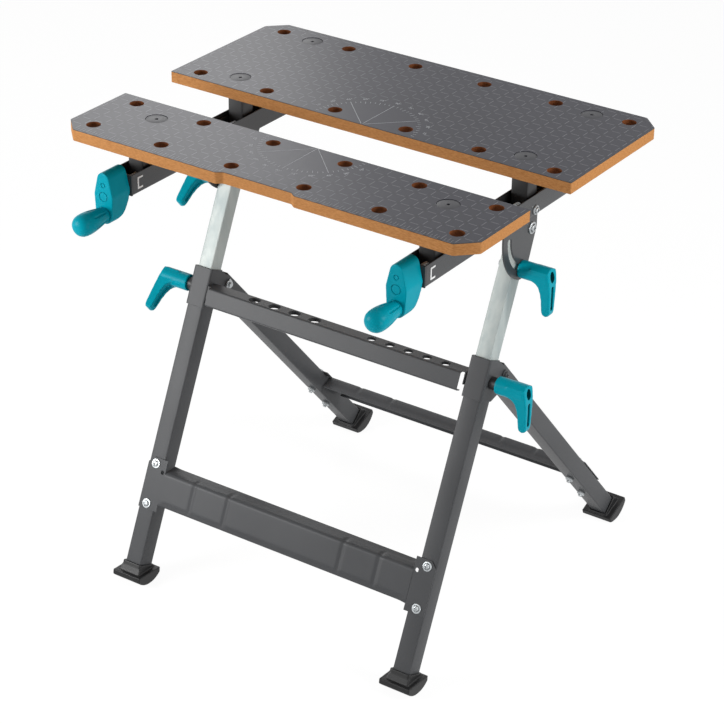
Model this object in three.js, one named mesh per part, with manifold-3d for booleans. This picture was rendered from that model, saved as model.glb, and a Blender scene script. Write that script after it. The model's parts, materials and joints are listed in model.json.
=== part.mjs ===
// Folding workbench: two vice jaws on a tilting table, carried by telescopic front legs
// and a rear leg frame that folds. Millimetres, +Z up, X along the jaws, -Y towards the user.

import * as THREE from 'three';
import { mergeVertices } from 'three/addons/utils/BufferGeometryUtils.js';
import Module from 'manifold-3d';

const wasm = await Module();
wasm.setup();

const DEGREE = Math.PI / 180;
const ROUND_SIDES = 14;
const BOLT_SIDES = 12;

// Clearances
const SEAT_GAP = 0.3;
const RUN_GAP = 0.3;
const SLIDE_GAP = 0.5;
const TILT_GAP = 1;

// Jaw boards
const TABLE_HEIGHT = 697;
const BOARD_LENGTH = 650;
const BOARD_THICKNESS = 16.5;
const FRONT_JAW_WIDTH = 141;
const REAR_JAW_WIDTH = 249;
const JAW_GAP = 101;
const REAR_JAW_AHEAD = 38;
const CORNER_CUT_X = 25;
const CORNER_CUT_Y = 25;
const RECESS_LENGTH = 108;
const RECESS_DEPTH = 6.3;
const RECESS_SLOPE = 8;
const DOG_DIAMETER = 20;
const DOG_COLUMNS = 6;
const DOG_END_INSET = 37;
const DOG_JAW_INSET = 20.8;
const DOG_OUTER_INSET = 28.5;

// Screws that hold the jaws on their carriers
const FRONT_SCREW_INSET = 46.7;
const REAR_SCREW_INSET = 40.2;
const REAR_SCREW_OUTER_INSET = 34.2;
const CAP_DIAMETER = 30;
const CAP_THICKNESS = 3;
const SCREW_DIAMETER = 8;
const SCREW_REACH = 18;

// Beams, bearings and jaw carriers
const BEAM_INSET = 92;
const BEAM_WIDTH = 36;
const BEAM_HEIGHT = 30;
const BEAM_SHEET = 1.6;
const BEAM_BEND = 3;
const BEAM_FRONT_SETBACK = 19;
const BEAM_REAR_SETBACK = 12;
const BEAM_LUG_RADIUS = 12;
const LANCE_SETBACK = 10;
const LANCE_LENGTH = 10;
const LANCE_HEIGHT = 16;
const LANCE_WIDTH = 1.6;
const BEARING_SHEET = 2.5;
const BEARING_FOOT = 14;
const CARRIER_RISE = 35;
const POST_LENGTH = 26;
const NUT_LENGTH = 64;
const NUT_FORWARD = 15;

// Spindles and cranks
const SPINDLE_DIAMETER = 10;
const SHOULDER_DIAMETER = 17;
const SHOULDER_LENGTH = 4;
const JOURNAL_DEPTH = 16;
const CRANK_DEPTH = 37.5;
const CRANK_SOCKET = 25;
const CRANK_HEAD_RADIUS = 10;
const CRANK_HEAD_RISE = 17.5;
const CRANK_WAIST_RADIUS = 15.5;
const CRANK_WAIST_DROP = 6;
const CRANK_THROW = 32;
const CRANK_TIP_RADIUS = 14;
const CRANK_ROUNDING = 3;
const CRANK_DISH = 1;
const PIN_DIAMETER = 7;
const PIN_IN_CRANK = 22;
const PIN_IN_KNOB = 38;
const KNOB_LENGTH = 55.5;
const KNOB_DIAMETER = 31;
const KNOB_NECK = 22;

// Tilt sectors
const PLATE_SHEET = 2.5;
const PLATE_PIVOT_MARGIN = 13.5;
const PLATE_RIM_MARGIN = 16;
const PLATE_BELOW_BEAM_TOP = 6;
const PLATE_SCREW_DIAMETER = 6;
const PLATE_SCREW_RISE = 8;
const PLATE_SCREW_BEHIND = 4;
const PLATE_SCREW_SPACING = 59;
const SLOT_RADIUS = 56;
const SLOT_SWEEP = 66;
const SLOT_CLEARANCE = 1;

// Bolts of the pivots and clamps
const BOLT_DIAMETER = 8;
const BOLT_HEAD_DIAMETER = 15;
const BOLT_HEAD_HEIGHT = 5;
const NUT_ACROSS_CORNERS = 15;
const NUT_HEIGHT = 6.5;

// Clamp levers
const LEVER_HUB_DIAMETER = 25;
const LEVER_HUB_LENGTH = 46;
const LEVER_REACH = 51;
const LEVER_TIP_RADIUS = 6.3;
const LEVER_WIDTH = 14;
const LEVER_ROUNDING = 3;
const LEVER_BORE = 30;
const LEVER_GROOVE = 5;
const LEVER_GROOVE_LENGTH = 32;
const LEVER_RECESS_WIDTH = 11;
const LEVER_RECESS_LENGTH = 16;
const LEVER_FLARE = 3;
const LEVER_THROAT = 2;
const LEVER_LEFT_SWING = 50;
const SPACER_DIAMETER = 18;
const SPACER_LENGTH = 10;

// Telescopic front legs
const LEG_LEAN = 23.8;
const INNER_WIDTH = 23.4;
const INNER_DEPTH = 25;
const INNER_LENGTH = 394;
const INNER_HEAD = 10;
const TUBE_WALL = 1.3;
const TUBE_CORNER = 3;
const LEG_TOP = 184;

// Collars and the rear pivot
const COLLAR_SHEET = 2;
const COLLAR_HEIGHT = 57;
const COLLAR_BEND = 3.5;
const CLAMP_BELOW_TOP = 30;
const PIVOT_BELOW_TOP = 19;
const PIVOT_BEHIND = 31.5;
const EAR_REACH = 76;
const EAR_TOP_START = 7.9;
const EAR_SHOULDER = 43.2;
const EAR_SHOULDER_RISE = 6.5;
const EAR_TIP_DROP = 8;
const EAR_TIP_HEIGHT = 10;
const EAR_TIP_SLANT = 6;
const EAR_BELLY_DROP = 24;
const EAR_BOTTOM_START = 12.6;
const EAR_ROUND = 5;

// Rear legs
const REAR_LEAN = 42;
const REAR_LEG_WIDTH = 25;
const REAR_LEG_DEPTH = 27.5;
const REAR_LEG_HEAD = 6.5;

// Crossbar with tool holes
const CROSSBAR_FORWARD = 23;
const CROSSBAR_TOP = 210;
const CROSSBAR_FACE = 26;
const CROSSBAR_SETBACK = 5;
const CROSSBAR_FLANGE = 22;
const CROSSBAR_FLANGE_FALL = 6;
const CROSSBAR_LIP = 10;
const CROSSBAR_TAB = 22;
const CROSSBAR_TAB_DEPTH = 15;
const SMALL_HOLE_COUNT = 5;
const SMALL_HOLE_DIAMETER = 13.5;
const SMALL_HOLE_PITCH = 30.2;
const SMALL_HOLE_INSET = 35.1;
const LARGE_HOLE_COUNT = 4;
const LARGE_HOLE_DIAMETER = 18;
const LARGE_HOLE_PITCH = 34.6;
const LARGE_HOLE_INSET = 78.9;

// Stretchers
const FRONT_STRETCHER_RISE = 175.6;
const REAR_STRETCHER_RISE = 166;
const STRETCHER_TAB = 77;
const STRETCHER_TAB_ABOVE = 18.5;
const STRETCHER_PANEL = 50;
const STRETCHER_FLANGE = 23;
const STRETCHER_LIP = 12;
const STRETCHER_CORNER = 9;
const STRETCHER_RELIEF = 4;
const EMBOSS_HEIGHT = 1.2;
const EMBOSS_MARGIN = 5;
const EMBOSS_SIDE_LENGTH = 60;
const EMBOSS_CORNER = 4;
const SHEET = 1.6;
const SHEET_BEND = 3;

// Feet
const FOOT_WIDTH = 49;
const FOOT_CHORD = 48;
const FOOT_SAGITTA = 10;
const FOOT_LIP = 4;
const FOOT_CANT = 20;
const FOOT_FLAT = 0.4;
const FOOT_SLEEVE_WALL = 3.2;
const FOOT_SLEEVE_TOP = 16.5;
const FOOT_FLARE_TOP = 10;
const FOOT_FLARE_STEP = 2.5;
const FOOT_POCKET = 8;

// Finishes
const finishes = {
  laminate: { color: '#4d5053', roughness: 0.55, metalness: 0 },
  darkSteel: { color: '#3b3e42', roughness: 0.5, metalness: 0.4 },
  galvanised: { color: '#b9bdc0', roughness: 0.35, metalness: 0.9 },
  zinc: { color: '#c8cacb', roughness: 0.3, metalness: 0.9 },
  teal: { color: '#1d8c8c', roughness: 0.45, metalness: 0 },
  blackPlastic: { color: '#1b1c1d', roughness: 0.6, metalness: 0 },
};

// A geometry whose triangles face outwards
function outward(geometry) {
  const position = geometry.attributes.position;
  const index = geometry.index.array;
  const [a, b, c] = [new THREE.Vector3(), new THREE.Vector3(), new THREE.Vector3()];
  let volume = 0;
  for (let i = 0; i < index.length; i += 3) {
    a.fromBufferAttribute(position, index[i]);
    b.fromBufferAttribute(position, index[i + 1]);
    c.fromBufferAttribute(position, index[i + 2]);
    volume += a.dot(b.cross(c));
  }
  if (volume > 0) return geometry;
  const flipped = Array.from(index);
  for (let i = 0; i < flipped.length; i += 3) {
    [flipped[i], flipped[i + 1]] = [flipped[i + 1], flipped[i]];
  }
  geometry.setIndex(flipped);
  return geometry;
}

// A closed solid from a geometry, with its seams welded
function solid(geometry) {
  geometry.deleteAttribute('normal');
  geometry.deleteAttribute('uv');
  const welded = mergeVertices(geometry, 1e-4);
  const kept = [];
  const index = welded.index.array;
  for (let i = 0; i < index.length; i += 3) {
    const [a, b, c] = [index[i], index[i + 1], index[i + 2]];
    if (a !== b && b !== c && c !== a) kept.push(a, b, c);
  }
  welded.setIndex(kept);
  const closed = outward(welded);
  const mesh = new wasm.Mesh({
    numProp: 3,
    vertProperties: new Float32Array(closed.attributes.position.array),
    triVerts: new Uint32Array(closed.index.array),
  });
  return new wasm.Manifold(mesh);
}

const join = (first, ...rest) => rest.reduce((sum, other) => sum.add(other), first);
const cut = (first, ...rest) => rest.reduce((left, other) => left.subtract(other), first);

// The drawable geometry of a solid
function geometryOf(manifold) {
  const mesh = manifold.getMesh();
  const geometry = new THREE.BufferGeometry();
  geometry.setAttribute('position', new THREE.BufferAttribute(mesh.vertProperties, 3));
  geometry.setIndex(new THREE.BufferAttribute(mesh.triVerts, 1));
  geometry.computeVertexNormals();
  return geometry;
}

// A block between two opposite corners
function block([x0, y0, z0], [x1, y1, z1]) {
  const geometry = new THREE.BoxGeometry(x1 - x0, y1 - y0, z1 - z0);
  geometry.translate((x0 + x1) / 2, (y0 + y1) / 2, (z0 + z1) / 2);
  return solid(geometry);
}

// Turns a geometry that runs along Y to run along another axis
function along(axis, geometry) {
  if (axis === 'x') geometry.rotateZ(-Math.PI / 2);
  if (axis === 'z') geometry.rotateX(Math.PI / 2);
  return geometry;
}

// A round or many-sided bar on an axis through (x, y, z), from one distance to another
function rod(axis, diameter, from, to, [x, y, z] = [0, 0, 0], sides = BOLT_SIDES) {
  const geometry = new THREE.CylinderGeometry(diameter / 2, diameter / 2, to - from, sides);
  geometry.translate(0, (from + to) / 2, 0);
  along(axis, geometry).translate(x, y, z);
  return solid(geometry);
}

// A turned piece: a profile of (radius, distance along the axis), closed on the axis
function turned(axis, profile, sides = ROUND_SIDES) {
  const points = profile.map(([radius, distance]) => new THREE.Vector2(radius, distance));
  return solid(along(axis, new THREE.LatheGeometry(points, sides)));
}

const extrudeBases = {
  x: [[0, 1, 0], [0, 0, 1], [1, 0, 0]],
  y: [[1, 0, 0], [0, 0, 1], [0, -1, 0]],
  z: [[1, 0, 0], [0, 1, 0], [0, 0, 1]],
};

// A shape drawn across an axis (y,z for x; x,z for y; x,y for z), thickened along that axis
function extrusion(axis, shape, from, to, rounding = 0, steps = 2) {
  const geometry = new THREE.ExtrudeGeometry(shape, {
    depth: to - from - 2 * rounding,
    bevelEnabled: rounding > 0,
    bevelThickness: rounding,
    bevelSize: rounding,
    bevelOffset: -rounding,
    bevelSegments: steps,
  });
  geometry.translate(0, 0, (axis === 'y' ? -to : from) + rounding);
  const basis = extrudeBases[axis].map((v) => new THREE.Vector3(...v));
  return geometry.applyMatrix4(new THREE.Matrix4().makeBasis(...basis));
}
const extruded = (...sizes) => solid(extrusion(...sizes));

// The points of a drawn line, without the repeats where its curves meet; arcs get twice the divisions
function pointsOf(path, divisions = 4) {
  const points = path.getPoints(divisions);
  return points.filter((point, i) => point.distanceTo(points[(i + 1) % points.length]) > 1e-3);
}

// A polygon through points
const polygon = (points) => new THREE.Shape(points.map(([a, b]) => new THREE.Vector2(a, b)));

// A rectangle about the middle with rounded corners
function roundedRectangle(width, depth, radius) {
  const [x, y] = [width / 2 - radius, depth / 2 - radius];
  const shape = new THREE.Shape();
  shape.absarc(x, y, radius, 0, Math.PI / 2);
  shape.absarc(-x, y, radius, Math.PI / 2, Math.PI);
  shape.absarc(-x, -y, radius, Math.PI, 1.5 * Math.PI);
  shape.absarc(x, -y, radius, 1.5 * Math.PI, 2 * Math.PI);
  return new THREE.Shape(pointsOf(shape, 1));
}

// A round hole for a shape
function roundHole(x, y, diameter) {
  const hole = new THREE.Path();
  hole.absarc(x, y, diameter / 2, 0, 2 * Math.PI);
  return new THREE.Path(pointsOf(hole, ROUND_SIDES / 2));
}

// A line of points with its inner corners turned into bends
function bentLine(points, radius) {
  const line = points.map(([a, b]) => new THREE.Vector2(a, b));
  return line.flatMap((corner, i) => {
    if (i === 0 || i === line.length - 1) return [corner];
    const back = line[i - 1].clone().sub(corner).normalize();
    const ahead = line[i + 1].clone().sub(corner).normalize();
    const halfAngle = Math.acos(back.dot(ahead)) / 2;
    const setback = radius / Math.tan(halfAngle);
    const curve = new THREE.QuadraticBezierCurve(
      corner.clone().addScaledVector(back, setback),
      corner,
      corner.clone().addScaledVector(ahead, setback),
    );
    return curve.getPoints(2);
  });
}

// The outline of a bent sheet, one thickness to the left of a line of points
function bentSheet(points, thickness, radius) {
  const line = bentLine(points, radius);
  const offset = line.map((point, i) => {
    const from = line[Math.max(i - 1, 0)];
    const to = line[Math.min(i + 1, line.length - 1)];
    const before = point.clone().sub(from);
    const after = to.clone().sub(point);
    const normals = [before, after].filter((d) => d.length() > 0).map((d) => d.normalize());
    const mitre = normals.reduce((sum, d) => sum.add(new THREE.Vector2(-d.y, d.x)), new THREE.Vector2());
    mitre.normalize();
    const across = mitre.dot(new THREE.Vector2(-normals[0].y, normals[0].x));
    return point.clone().addScaledVector(mitre, thickness / across);
  });
  return new THREE.Shape([...line, ...offset.reverse()]);
}

// A rectangular tube along Z
function tube(width, depth, wall, from, to) {
  const shape = roundedRectangle(width, depth, TUBE_CORNER);
  shape.holes.push(roundedRectangle(width - 2 * wall, depth - 2 * wall, TUBE_CORNER - wall));
  return extruded('z', shape, from, to);
}

// Adds a named piece with a finish of its own
function addPiece(parent, name, geometry, finish) {
  const mesh = new THREE.Mesh(geometry, new THREE.MeshStandardMaterial(finish));
  mesh.name = name;
  parent.add(mesh);
  return mesh;
}

// Adds a right-hand piece and its mirror image, each sideOffset from the middle
function addPair(parent, name, manifold, finish) {
  const right = addPiece(parent, `${name}_R`, geometryOf(manifold), finish);
  const mirrored = outward(geometryOf(manifold).scale(-1, 1, 1));
  mirrored.computeVertexNormals();
  const left = addPiece(parent, `${name}_L`, mirrored, finish);
  right.position.x = sideOffset;
  left.position.x = -sideOffset;
  return { right, left };
}

// Sizes that follow from the driving dimensions
const lean = LEG_LEAN * DEGREE;
const rearLean = REAR_LEAN * DEGREE;
const sideOffset = BOARD_LENGTH / 2 - BEAM_INSET;
const dogPitch = (BOARD_LENGTH - 2 * DOG_END_INSET) / (DOG_COLUMNS - 1);
const boltHole = BOLT_DIAMETER + 2 * RUN_GAP;
const pivotDrop = Math.hypot(INNER_DEPTH / 2, INNER_HEAD) + TILT_GAP;
const beamFloor = pivotDrop + BEAM_SHEET;
const beamTop = pivotDrop + BEAM_HEIGHT;
const boardBottom = beamTop + CARRIER_RISE;
const boardTop = boardBottom + BOARD_THICKNESS;
const pivotHeight = TABLE_HEIGHT - boardTop;
const legWidth = INNER_WIDTH + 2 * (SLIDE_GAP + TUBE_WALL);
const legDepth = INNER_DEPTH + 2 * (SLIDE_GAP + TUBE_WALL);

// Table: everything that tilts, with its origin at the tilt pivot
const table = new THREE.Group();
table.position.z = pivotHeight;

const rearJawFront = -REAR_JAW_AHEAD;
const rearJawRear = rearJawFront + REAR_JAW_WIDTH;
const frontJawRear = rearJawFront - JAW_GAP;
const frontJawFront = frontJawRear - FRONT_JAW_WIDTH;
const frontScrewY = frontJawRear - FRONT_SCREW_INSET;
const rearScrewYs = { front: rearJawFront + REAR_SCREW_INSET };
rearScrewYs.rear = rearJawRear - REAR_SCREW_OUTER_INSET;

// Jaw boards: drawn from the jaw edge outwards, with two rows of dog holes and seats for the caps
function jawBoard(edge, outwards, width, outerEdge, screwYs) {
  const half = BOARD_LENGTH / 2;
  const outline = [[-half, 0], [half, 0], [half, width - CORNER_CUT_Y], ...outerEdge(width)];
  outline.push([-half, width - CORNER_CUT_Y]);
  const shape = polygon(outline.map(([x, s]) => [x, edge + outwards * s]));
  for (let column = 0; column < DOG_COLUMNS; column += 1) {
    const x = (column - (DOG_COLUMNS - 1) / 2) * dogPitch;
    for (const inset of [DOG_JAW_INSET, width - DOG_OUTER_INSET]) {
      shape.holes.push(roundHole(x, edge + outwards * inset, DOG_DIAMETER));
    }
  }
  let board = extruded('z', shape, boardBottom, boardTop);
  for (const x of [-sideOffset, sideOffset]) {
    for (const y of screwYs) {
      const seat = boardTop - CAP_THICKNESS - SEAT_GAP;
      const capHole = CAP_DIAMETER + 2 * SEAT_GAP;
      const capSeat = rod('z', capHole, seat, boardTop + 1, [x, y, 0], ROUND_SIDES);
      const shankHole = rod('z', SCREW_DIAMETER + 2 * RUN_GAP, boardBottom - 1, boardTop, [x, y, 0]);
      board = cut(board, capSeat, shankHole);
    }
  }
  return geometryOf(board);
}

const plainEdge = (width) => {
  const x = BOARD_LENGTH / 2 - CORNER_CUT_X;
  return [[x, width], [-x, width]];
};
const recessedEdge = (width) => {
  const [start, end] = plainEdge(width);
  const [outer, inner] = [RECESS_LENGTH / 2 + RECESS_SLOPE, RECESS_LENGTH / 2];
  const depth = width - RECESS_DEPTH;
  return [start, [outer, width], [inner, depth], [-inner, depth], [-outer, width], end];
};

const frontBoard = jawBoard(frontJawRear, -1, FRONT_JAW_WIDTH, recessedEdge, [frontScrewY]);
const rearBoard = jawBoard(rearJawFront, 1, REAR_JAW_WIDTH, plainEdge, Object.values(rearScrewYs));
addPiece(table, 'front_jaw_board', frontBoard, finishes.laminate);
addPiece(table, 'rear_jaw_board', rearBoard, finishes.laminate);

// Jaw screws: flush round caps, with shanks down into the carriers
const screwEnd = boardBottom - SCREW_REACH;
const jawScrew = turned('z', [
  [0, boardTop],
  [CAP_DIAMETER / 2, boardTop],
  [CAP_DIAMETER / 2, boardTop - CAP_THICKNESS],
  [SCREW_DIAMETER / 2, boardTop - CAP_THICKNESS],
  [SCREW_DIAMETER / 2, screwEnd],
  [0, screwEnd],
]);
const screwPlaces = { front_jaw_screw: frontScrewY };
for (const [place, y] of Object.entries(rearScrewYs)) screwPlaces[`rear_jaw_screw_${place}`] = y;
for (const [name, y] of Object.entries(screwPlaces)) {
  const screws = addPair(table, name, jawScrew, finishes.zinc);
  for (const screw of Object.values(screws)) screw.position.y = y;
}

// Beams: channels open at the top, slotted for the tilt plates, with a lug for the pivot bolt
const beamFront = frontJawFront + BEAM_FRONT_SETBACK;
const beamRear = rearJawRear - BEAM_REAR_SETBACK;
const beamInside = BEAM_WIDTH / 2 - BEAM_SHEET;
const plateOuter = beamInside - SEAT_GAP;
const plateInner = plateOuter - PLATE_SHEET;
const plateRim = SLOT_RADIUS + PLATE_RIM_MARGIN;
const plateScrewHole = PLATE_SCREW_DIAMETER + 2 * RUN_GAP;
const plateScrewZ = pivotDrop + PLATE_SCREW_RISE;
const plateScrewYs = [PLATE_SCREW_BEHIND, PLATE_SCREW_BEHIND - PLATE_SCREW_SPACING];

const channel = bentSheet([
  [-BEAM_WIDTH / 2, beamTop],
  [-BEAM_WIDTH / 2, pivotDrop],
  [BEAM_WIDTH / 2, pivotDrop],
  [BEAM_WIDTH / 2, beamTop],
], BEAM_SHEET, BEAM_BEND);
const lugShape = new THREE.Shape();
lugShape.absarc(0, 0, BEAM_LUG_RADIUS, Math.PI, 2 * Math.PI);
lugShape.lineTo(2 * BEAM_LUG_RADIUS, pivotDrop + BEAM_BEND + 1);
lugShape.lineTo(-2 * BEAM_LUG_RADIUS, pivotDrop + BEAM_BEND + 1);
const lug = extruded('x', new THREE.Shape(pointsOf(lugShape)), -BEAM_WIDTH / 2, -beamInside);
const plateSlot = block(
  [plateInner - SEAT_GAP, -plateRim - 1, pivotDrop - 1],
  [beamInside, PLATE_PIVOT_MARGIN + 1, pivotDrop + BEAM_BEND + 1],
);
const lanceY = beamFront + LANCE_SETBACK;
const lanceMiddle = pivotDrop + BEAM_HEIGHT / 2;
const lanceCuts = [-1, 1].map((end) => {
  const z = lanceMiddle + end * (LANCE_HEIGHT - LANCE_WIDTH) / 2;
  return block(
    [-BEAM_WIDTH, lanceY, z - LANCE_WIDTH / 2],
    [BEAM_WIDTH, lanceY + LANCE_LENGTH, z + LANCE_WIDTH / 2],
  );
});
lanceCuts.push(block(
  [-BEAM_WIDTH, lanceY, lanceMiddle - LANCE_HEIGHT / 2],
  [BEAM_WIDTH, lanceY + LANCE_WIDTH, lanceMiddle + LANCE_HEIGHT / 2],
));
const beamScrewHoles = plateScrewYs.map(
  (y) => rod('x', plateScrewHole, 0, BEAM_WIDTH, [0, y, plateScrewZ]),
);
const beam = cut(
  join(extruded('y', channel, beamFront, beamRear), lug),
  plateSlot,
  ...lanceCuts,
  ...beamScrewHoles,
  rod('x', boltHole, -BEAM_WIDTH, 0),
);
addPair(table, 'beam', beam, finishes.darkSteel);

// Front bearings: angles in the beams' mouths that hold the spindles
const spindleZ = pivotDrop + BEAM_HEIGHT / 2;
const bearingBack = beamFront - SEAT_GAP;
const bearingFront = bearingBack - BEARING_SHEET;
const postHalf = plateInner - 2 * SEAT_GAP;
const bearing = cut(
  join(
    block([-BEAM_WIDTH / 2, bearingFront, pivotDrop], [BEAM_WIDTH / 2, bearingBack, beamTop]),
    block(
      [-postHalf, bearingFront, beamFloor + SEAT_GAP],
      [postHalf, beamFront + BEARING_FOOT, beamFloor + SEAT_GAP + BEARING_SHEET],
    ),
  ),
  rod('y', SPINDLE_DIAMETER + 2 * RUN_GAP, bearingFront - 1, beamFront, [0, 0, spindleZ]),
);
addPair(table, 'front_bearing', bearing, finishes.darkSteel);

// Jaw carriers: nuts on the spindles under the front jaw, posts under the rear jaw
const carrierFoot = beamFloor + SEAT_GAP;
const carrierTop = boardBottom - SEAT_GAP;
const spindleBore = SPINDLE_DIAMETER + 2 * RUN_GAP;
function carrier(length, bore, forward = 0) {
  const shape = roundedRectangle(2 * postHalf, length, TUBE_CORNER);
  const body = extruded('z', shape, carrierFoot, carrierTop).translate([0, -forward, 0]);
  const screwBore = rod('z', SCREW_DIAMETER + 2 * RUN_GAP, screwEnd - 1, carrierTop + 1);
  return cut(body, screwBore, ...bore);
}
const nutBore = rod('y', spindleBore, -NUT_LENGTH, NUT_LENGTH, [0, 0, spindleZ]);
const journal = rod('y', spindleBore, -POST_LENGTH, JOURNAL_DEPTH - POST_LENGTH / 2, [0, 0, spindleZ]);
const carriers = {
  spindle_nut: { y: frontScrewY, shape: carrier(NUT_LENGTH, [nutBore], NUT_FORWARD) },
  rear_jaw_post_front: { y: rearScrewYs.front, shape: carrier(POST_LENGTH, [journal]) },
  rear_jaw_post_rear: { y: rearScrewYs.rear, shape: carrier(POST_LENGTH, []) },
};
for (const [name, { y, shape }] of Object.entries(carriers)) {
  const blocks = addPair(table, name, shape, finishes.blackPlastic);
  for (const each of Object.values(blocks)) each.position.y = y;
}

// Spindles: from the cranks to the journals, with a shoulder behind each bearing
const crankBack = bearingFront - SEAT_GAP;
const crankFront = crankBack - CRANK_DEPTH;
const spindleFront = crankBack - CRANK_SOCKET;
const spindleRear = rearScrewYs.front - POST_LENGTH / 2 + JOURNAL_DEPTH - SEAT_GAP;
const spindle = turned('y', [
  [0, spindleFront],
  [SPINDLE_DIAMETER / 2, spindleFront],
  [SPINDLE_DIAMETER / 2, bearingBack + SEAT_GAP],
  [SHOULDER_DIAMETER / 2, bearingBack + SEAT_GAP],
  [SHOULDER_DIAMETER / 2, bearingBack + SEAT_GAP + SHOULDER_LENGTH],
  [SPINDLE_DIAMETER / 2, bearingBack + SEAT_GAP + SHOULDER_LENGTH],
  [SPINDLE_DIAMETER / 2, spindleRear],
  [0, spindleRear],
], BOLT_SIDES);
for (const mesh of Object.values(addPair(table, 'spindle', spindle, finishes.zinc))) {
  mesh.position.z = spindleZ;
}

// Crank arms: egg-shaped mouldings, narrow at the head, dished in front, hanging from the spindles
function crankShape() {
  const waistRise = -CRANK_WAIST_DROP;
  const upper = Math.asin((CRANK_HEAD_RADIUS - CRANK_WAIST_RADIUS) / (CRANK_HEAD_RISE - waistRise));
  const lower = Math.asin((CRANK_WAIST_RADIUS - CRANK_TIP_RADIUS) / (waistRise + CRANK_THROW));
  const shape = new THREE.Shape();
  shape.absarc(0, CRANK_HEAD_RISE, CRANK_HEAD_RADIUS, -upper, Math.PI + upper);
  shape.absarc(0, waistRise, CRANK_WAIST_RADIUS, Math.PI + upper, Math.PI + lower);
  shape.absarc(0, -CRANK_THROW, CRANK_TIP_RADIUS, Math.PI + lower, 2 * Math.PI - lower);
  shape.absarc(0, waistRise, CRANK_WAIST_RADIUS, 2 * Math.PI - lower, 2 * Math.PI - upper);
  return new THREE.Shape(pointsOf(shape, 4));
}
const crankOutline = crankShape();
const dishRadius = CRANK_WAIST_RADIUS - 3 * CRANK_ROUNDING;
const crankArm = cut(
  extruded('y', crankOutline, crankFront, crankBack, CRANK_ROUNDING, 1),
  rod('y', dishRadius * 2, crankFront - 1, crankFront + CRANK_DISH, [0, 0, -CRANK_WAIST_DROP], BOLT_SIDES),
  rod('y', spindleBore, spindleFront - SEAT_GAP, crankBack + 1),
  rod('y', PIN_DIAMETER + 2 * RUN_GAP, crankFront - 1, crankFront + PIN_IN_CRANK + SEAT_GAP,
    [0, 0, -CRANK_THROW]),
);
const knobRear = crankFront - SEAT_GAP;
const knobFront = knobRear - KNOB_LENGTH;
const knobPin = rod('y', PIN_DIAMETER, knobRear - PIN_IN_KNOB, crankFront + PIN_IN_CRANK);
const knobBoreEnd = knobRear - PIN_IN_KNOB - SEAT_GAP;
const knobBore = (PIN_DIAMETER + 2 * RUN_GAP) / 2;
const knob = turned('y', [
  [0, knobFront],
  [KNOB_DIAMETER * 0.34, knobFront],
  [KNOB_DIAMETER * 0.45, knobFront + KNOB_LENGTH * 0.05],
  [KNOB_DIAMETER * 0.5, knobFront + KNOB_LENGTH * 0.16],
  [KNOB_DIAMETER * 0.5, knobFront + KNOB_LENGTH * 0.42],
  [KNOB_DIAMETER * 0.46, knobFront + KNOB_LENGTH * 0.66],
  [KNOB_NECK / 2, knobFront + KNOB_LENGTH * 0.88],
  [KNOB_NECK / 2, knobRear],
  [knobBore, knobRear],
  [knobBore, knobBoreEnd],
  [0, knobBoreEnd],
]);
for (const mesh of Object.values(addPair(table, 'crank_arm', crankArm, finishes.teal))) {
  mesh.position.z = spindleZ;
}
for (const mesh of Object.values(addPair(table, 'knob_pin', knobPin, finishes.zinc))) {
  mesh.position.z = spindleZ - CRANK_THROW;
}
for (const mesh of Object.values(addPair(table, 'crank_knob', knob, finishes.teal))) {
  mesh.position.z = spindleZ - CRANK_THROW;
}

// Tilt plates: a straight top inside the beam, a round rim below, and an arc slot about the pivot.
// Angles are measured in the YZ plane; at rest the clamp bolt lies at the slot's lower end.
const clampAngle = -Math.PI / 2 - lean;
const onCircle = (radius, angle) => [radius * Math.cos(angle), radius * Math.sin(angle)];
const clampPlace = onCircle(SLOT_RADIUS, clampAngle);

function tiltPlateShape() {
  const top = beamTop - PLATE_BELOW_BEAM_TOP;
  const tangent = Math.acos((PLATE_PIVOT_MARGIN - PLATE_RIM_MARGIN) / SLOT_RADIUS) + clampAngle;
  const shape = new THREE.Shape();
  shape.moveTo(PLATE_PIVOT_MARGIN, top);
  shape.lineTo(PLATE_PIVOT_MARGIN, 0);
  shape.absarc(0, 0, PLATE_PIVOT_MARGIN, 0, tangent, true);
  shape.absarc(...clampPlace, PLATE_RIM_MARGIN, tangent, clampAngle, true);
  shape.absarc(0, 0, plateRim, clampAngle, -Math.PI, true);
  shape.lineTo(-plateRim, top);
  return new THREE.Shape(pointsOf(shape));
}

function arcSlot(radius, width, start, end) {
  const slot = new THREE.Path();
  slot.absarc(0, 0, radius + width / 2, start, end, true);
  slot.absarc(...onCircle(radius, end), width / 2, end, end - Math.PI, true);
  slot.absarc(0, 0, radius - width / 2, end, start, false);
  slot.absarc(...onCircle(radius, start), width / 2, start + Math.PI, start, true);
  return new THREE.Path(pointsOf(slot).reverse());
}

const plateShape = tiltPlateShape();
const slotWidth = BOLT_DIAMETER + SLOT_CLEARANCE;
plateShape.holes.push(roundHole(0, 0, boltHole));
plateShape.holes.push(arcSlot(SLOT_RADIUS, slotWidth, clampAngle, clampAngle - SLOT_SWEEP * DEGREE));
for (const y of plateScrewYs) plateShape.holes.push(roundHole(y, plateScrewZ, plateScrewHole));
addPair(table, 'tilt_plate', extruded('x', plateShape, plateInner, plateOuter), finishes.darkSteel);

// A bolt along X: a domed head beyond one place, a plain shank to another
function bolt(diameter, headDiameter, seat, end) {
  const side = Math.sign(seat - end);
  const top = seat + side * BOLT_HEAD_HEIGHT;
  return turned('x', [
    [0, end],
    [diameter / 2, end],
    [diameter / 2, seat],
    [headDiameter / 2, seat],
    [headDiameter / 2, seat + side * BOLT_HEAD_HEIGHT * 0.45],
    [headDiameter * 0.28, top],
    [0, top],
  ], BOLT_SIDES);
}
const hexNut = (from, to) => rod('x', NUT_ACROSS_CORNERS, from, to, [0, 0, 0], 6);

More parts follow.
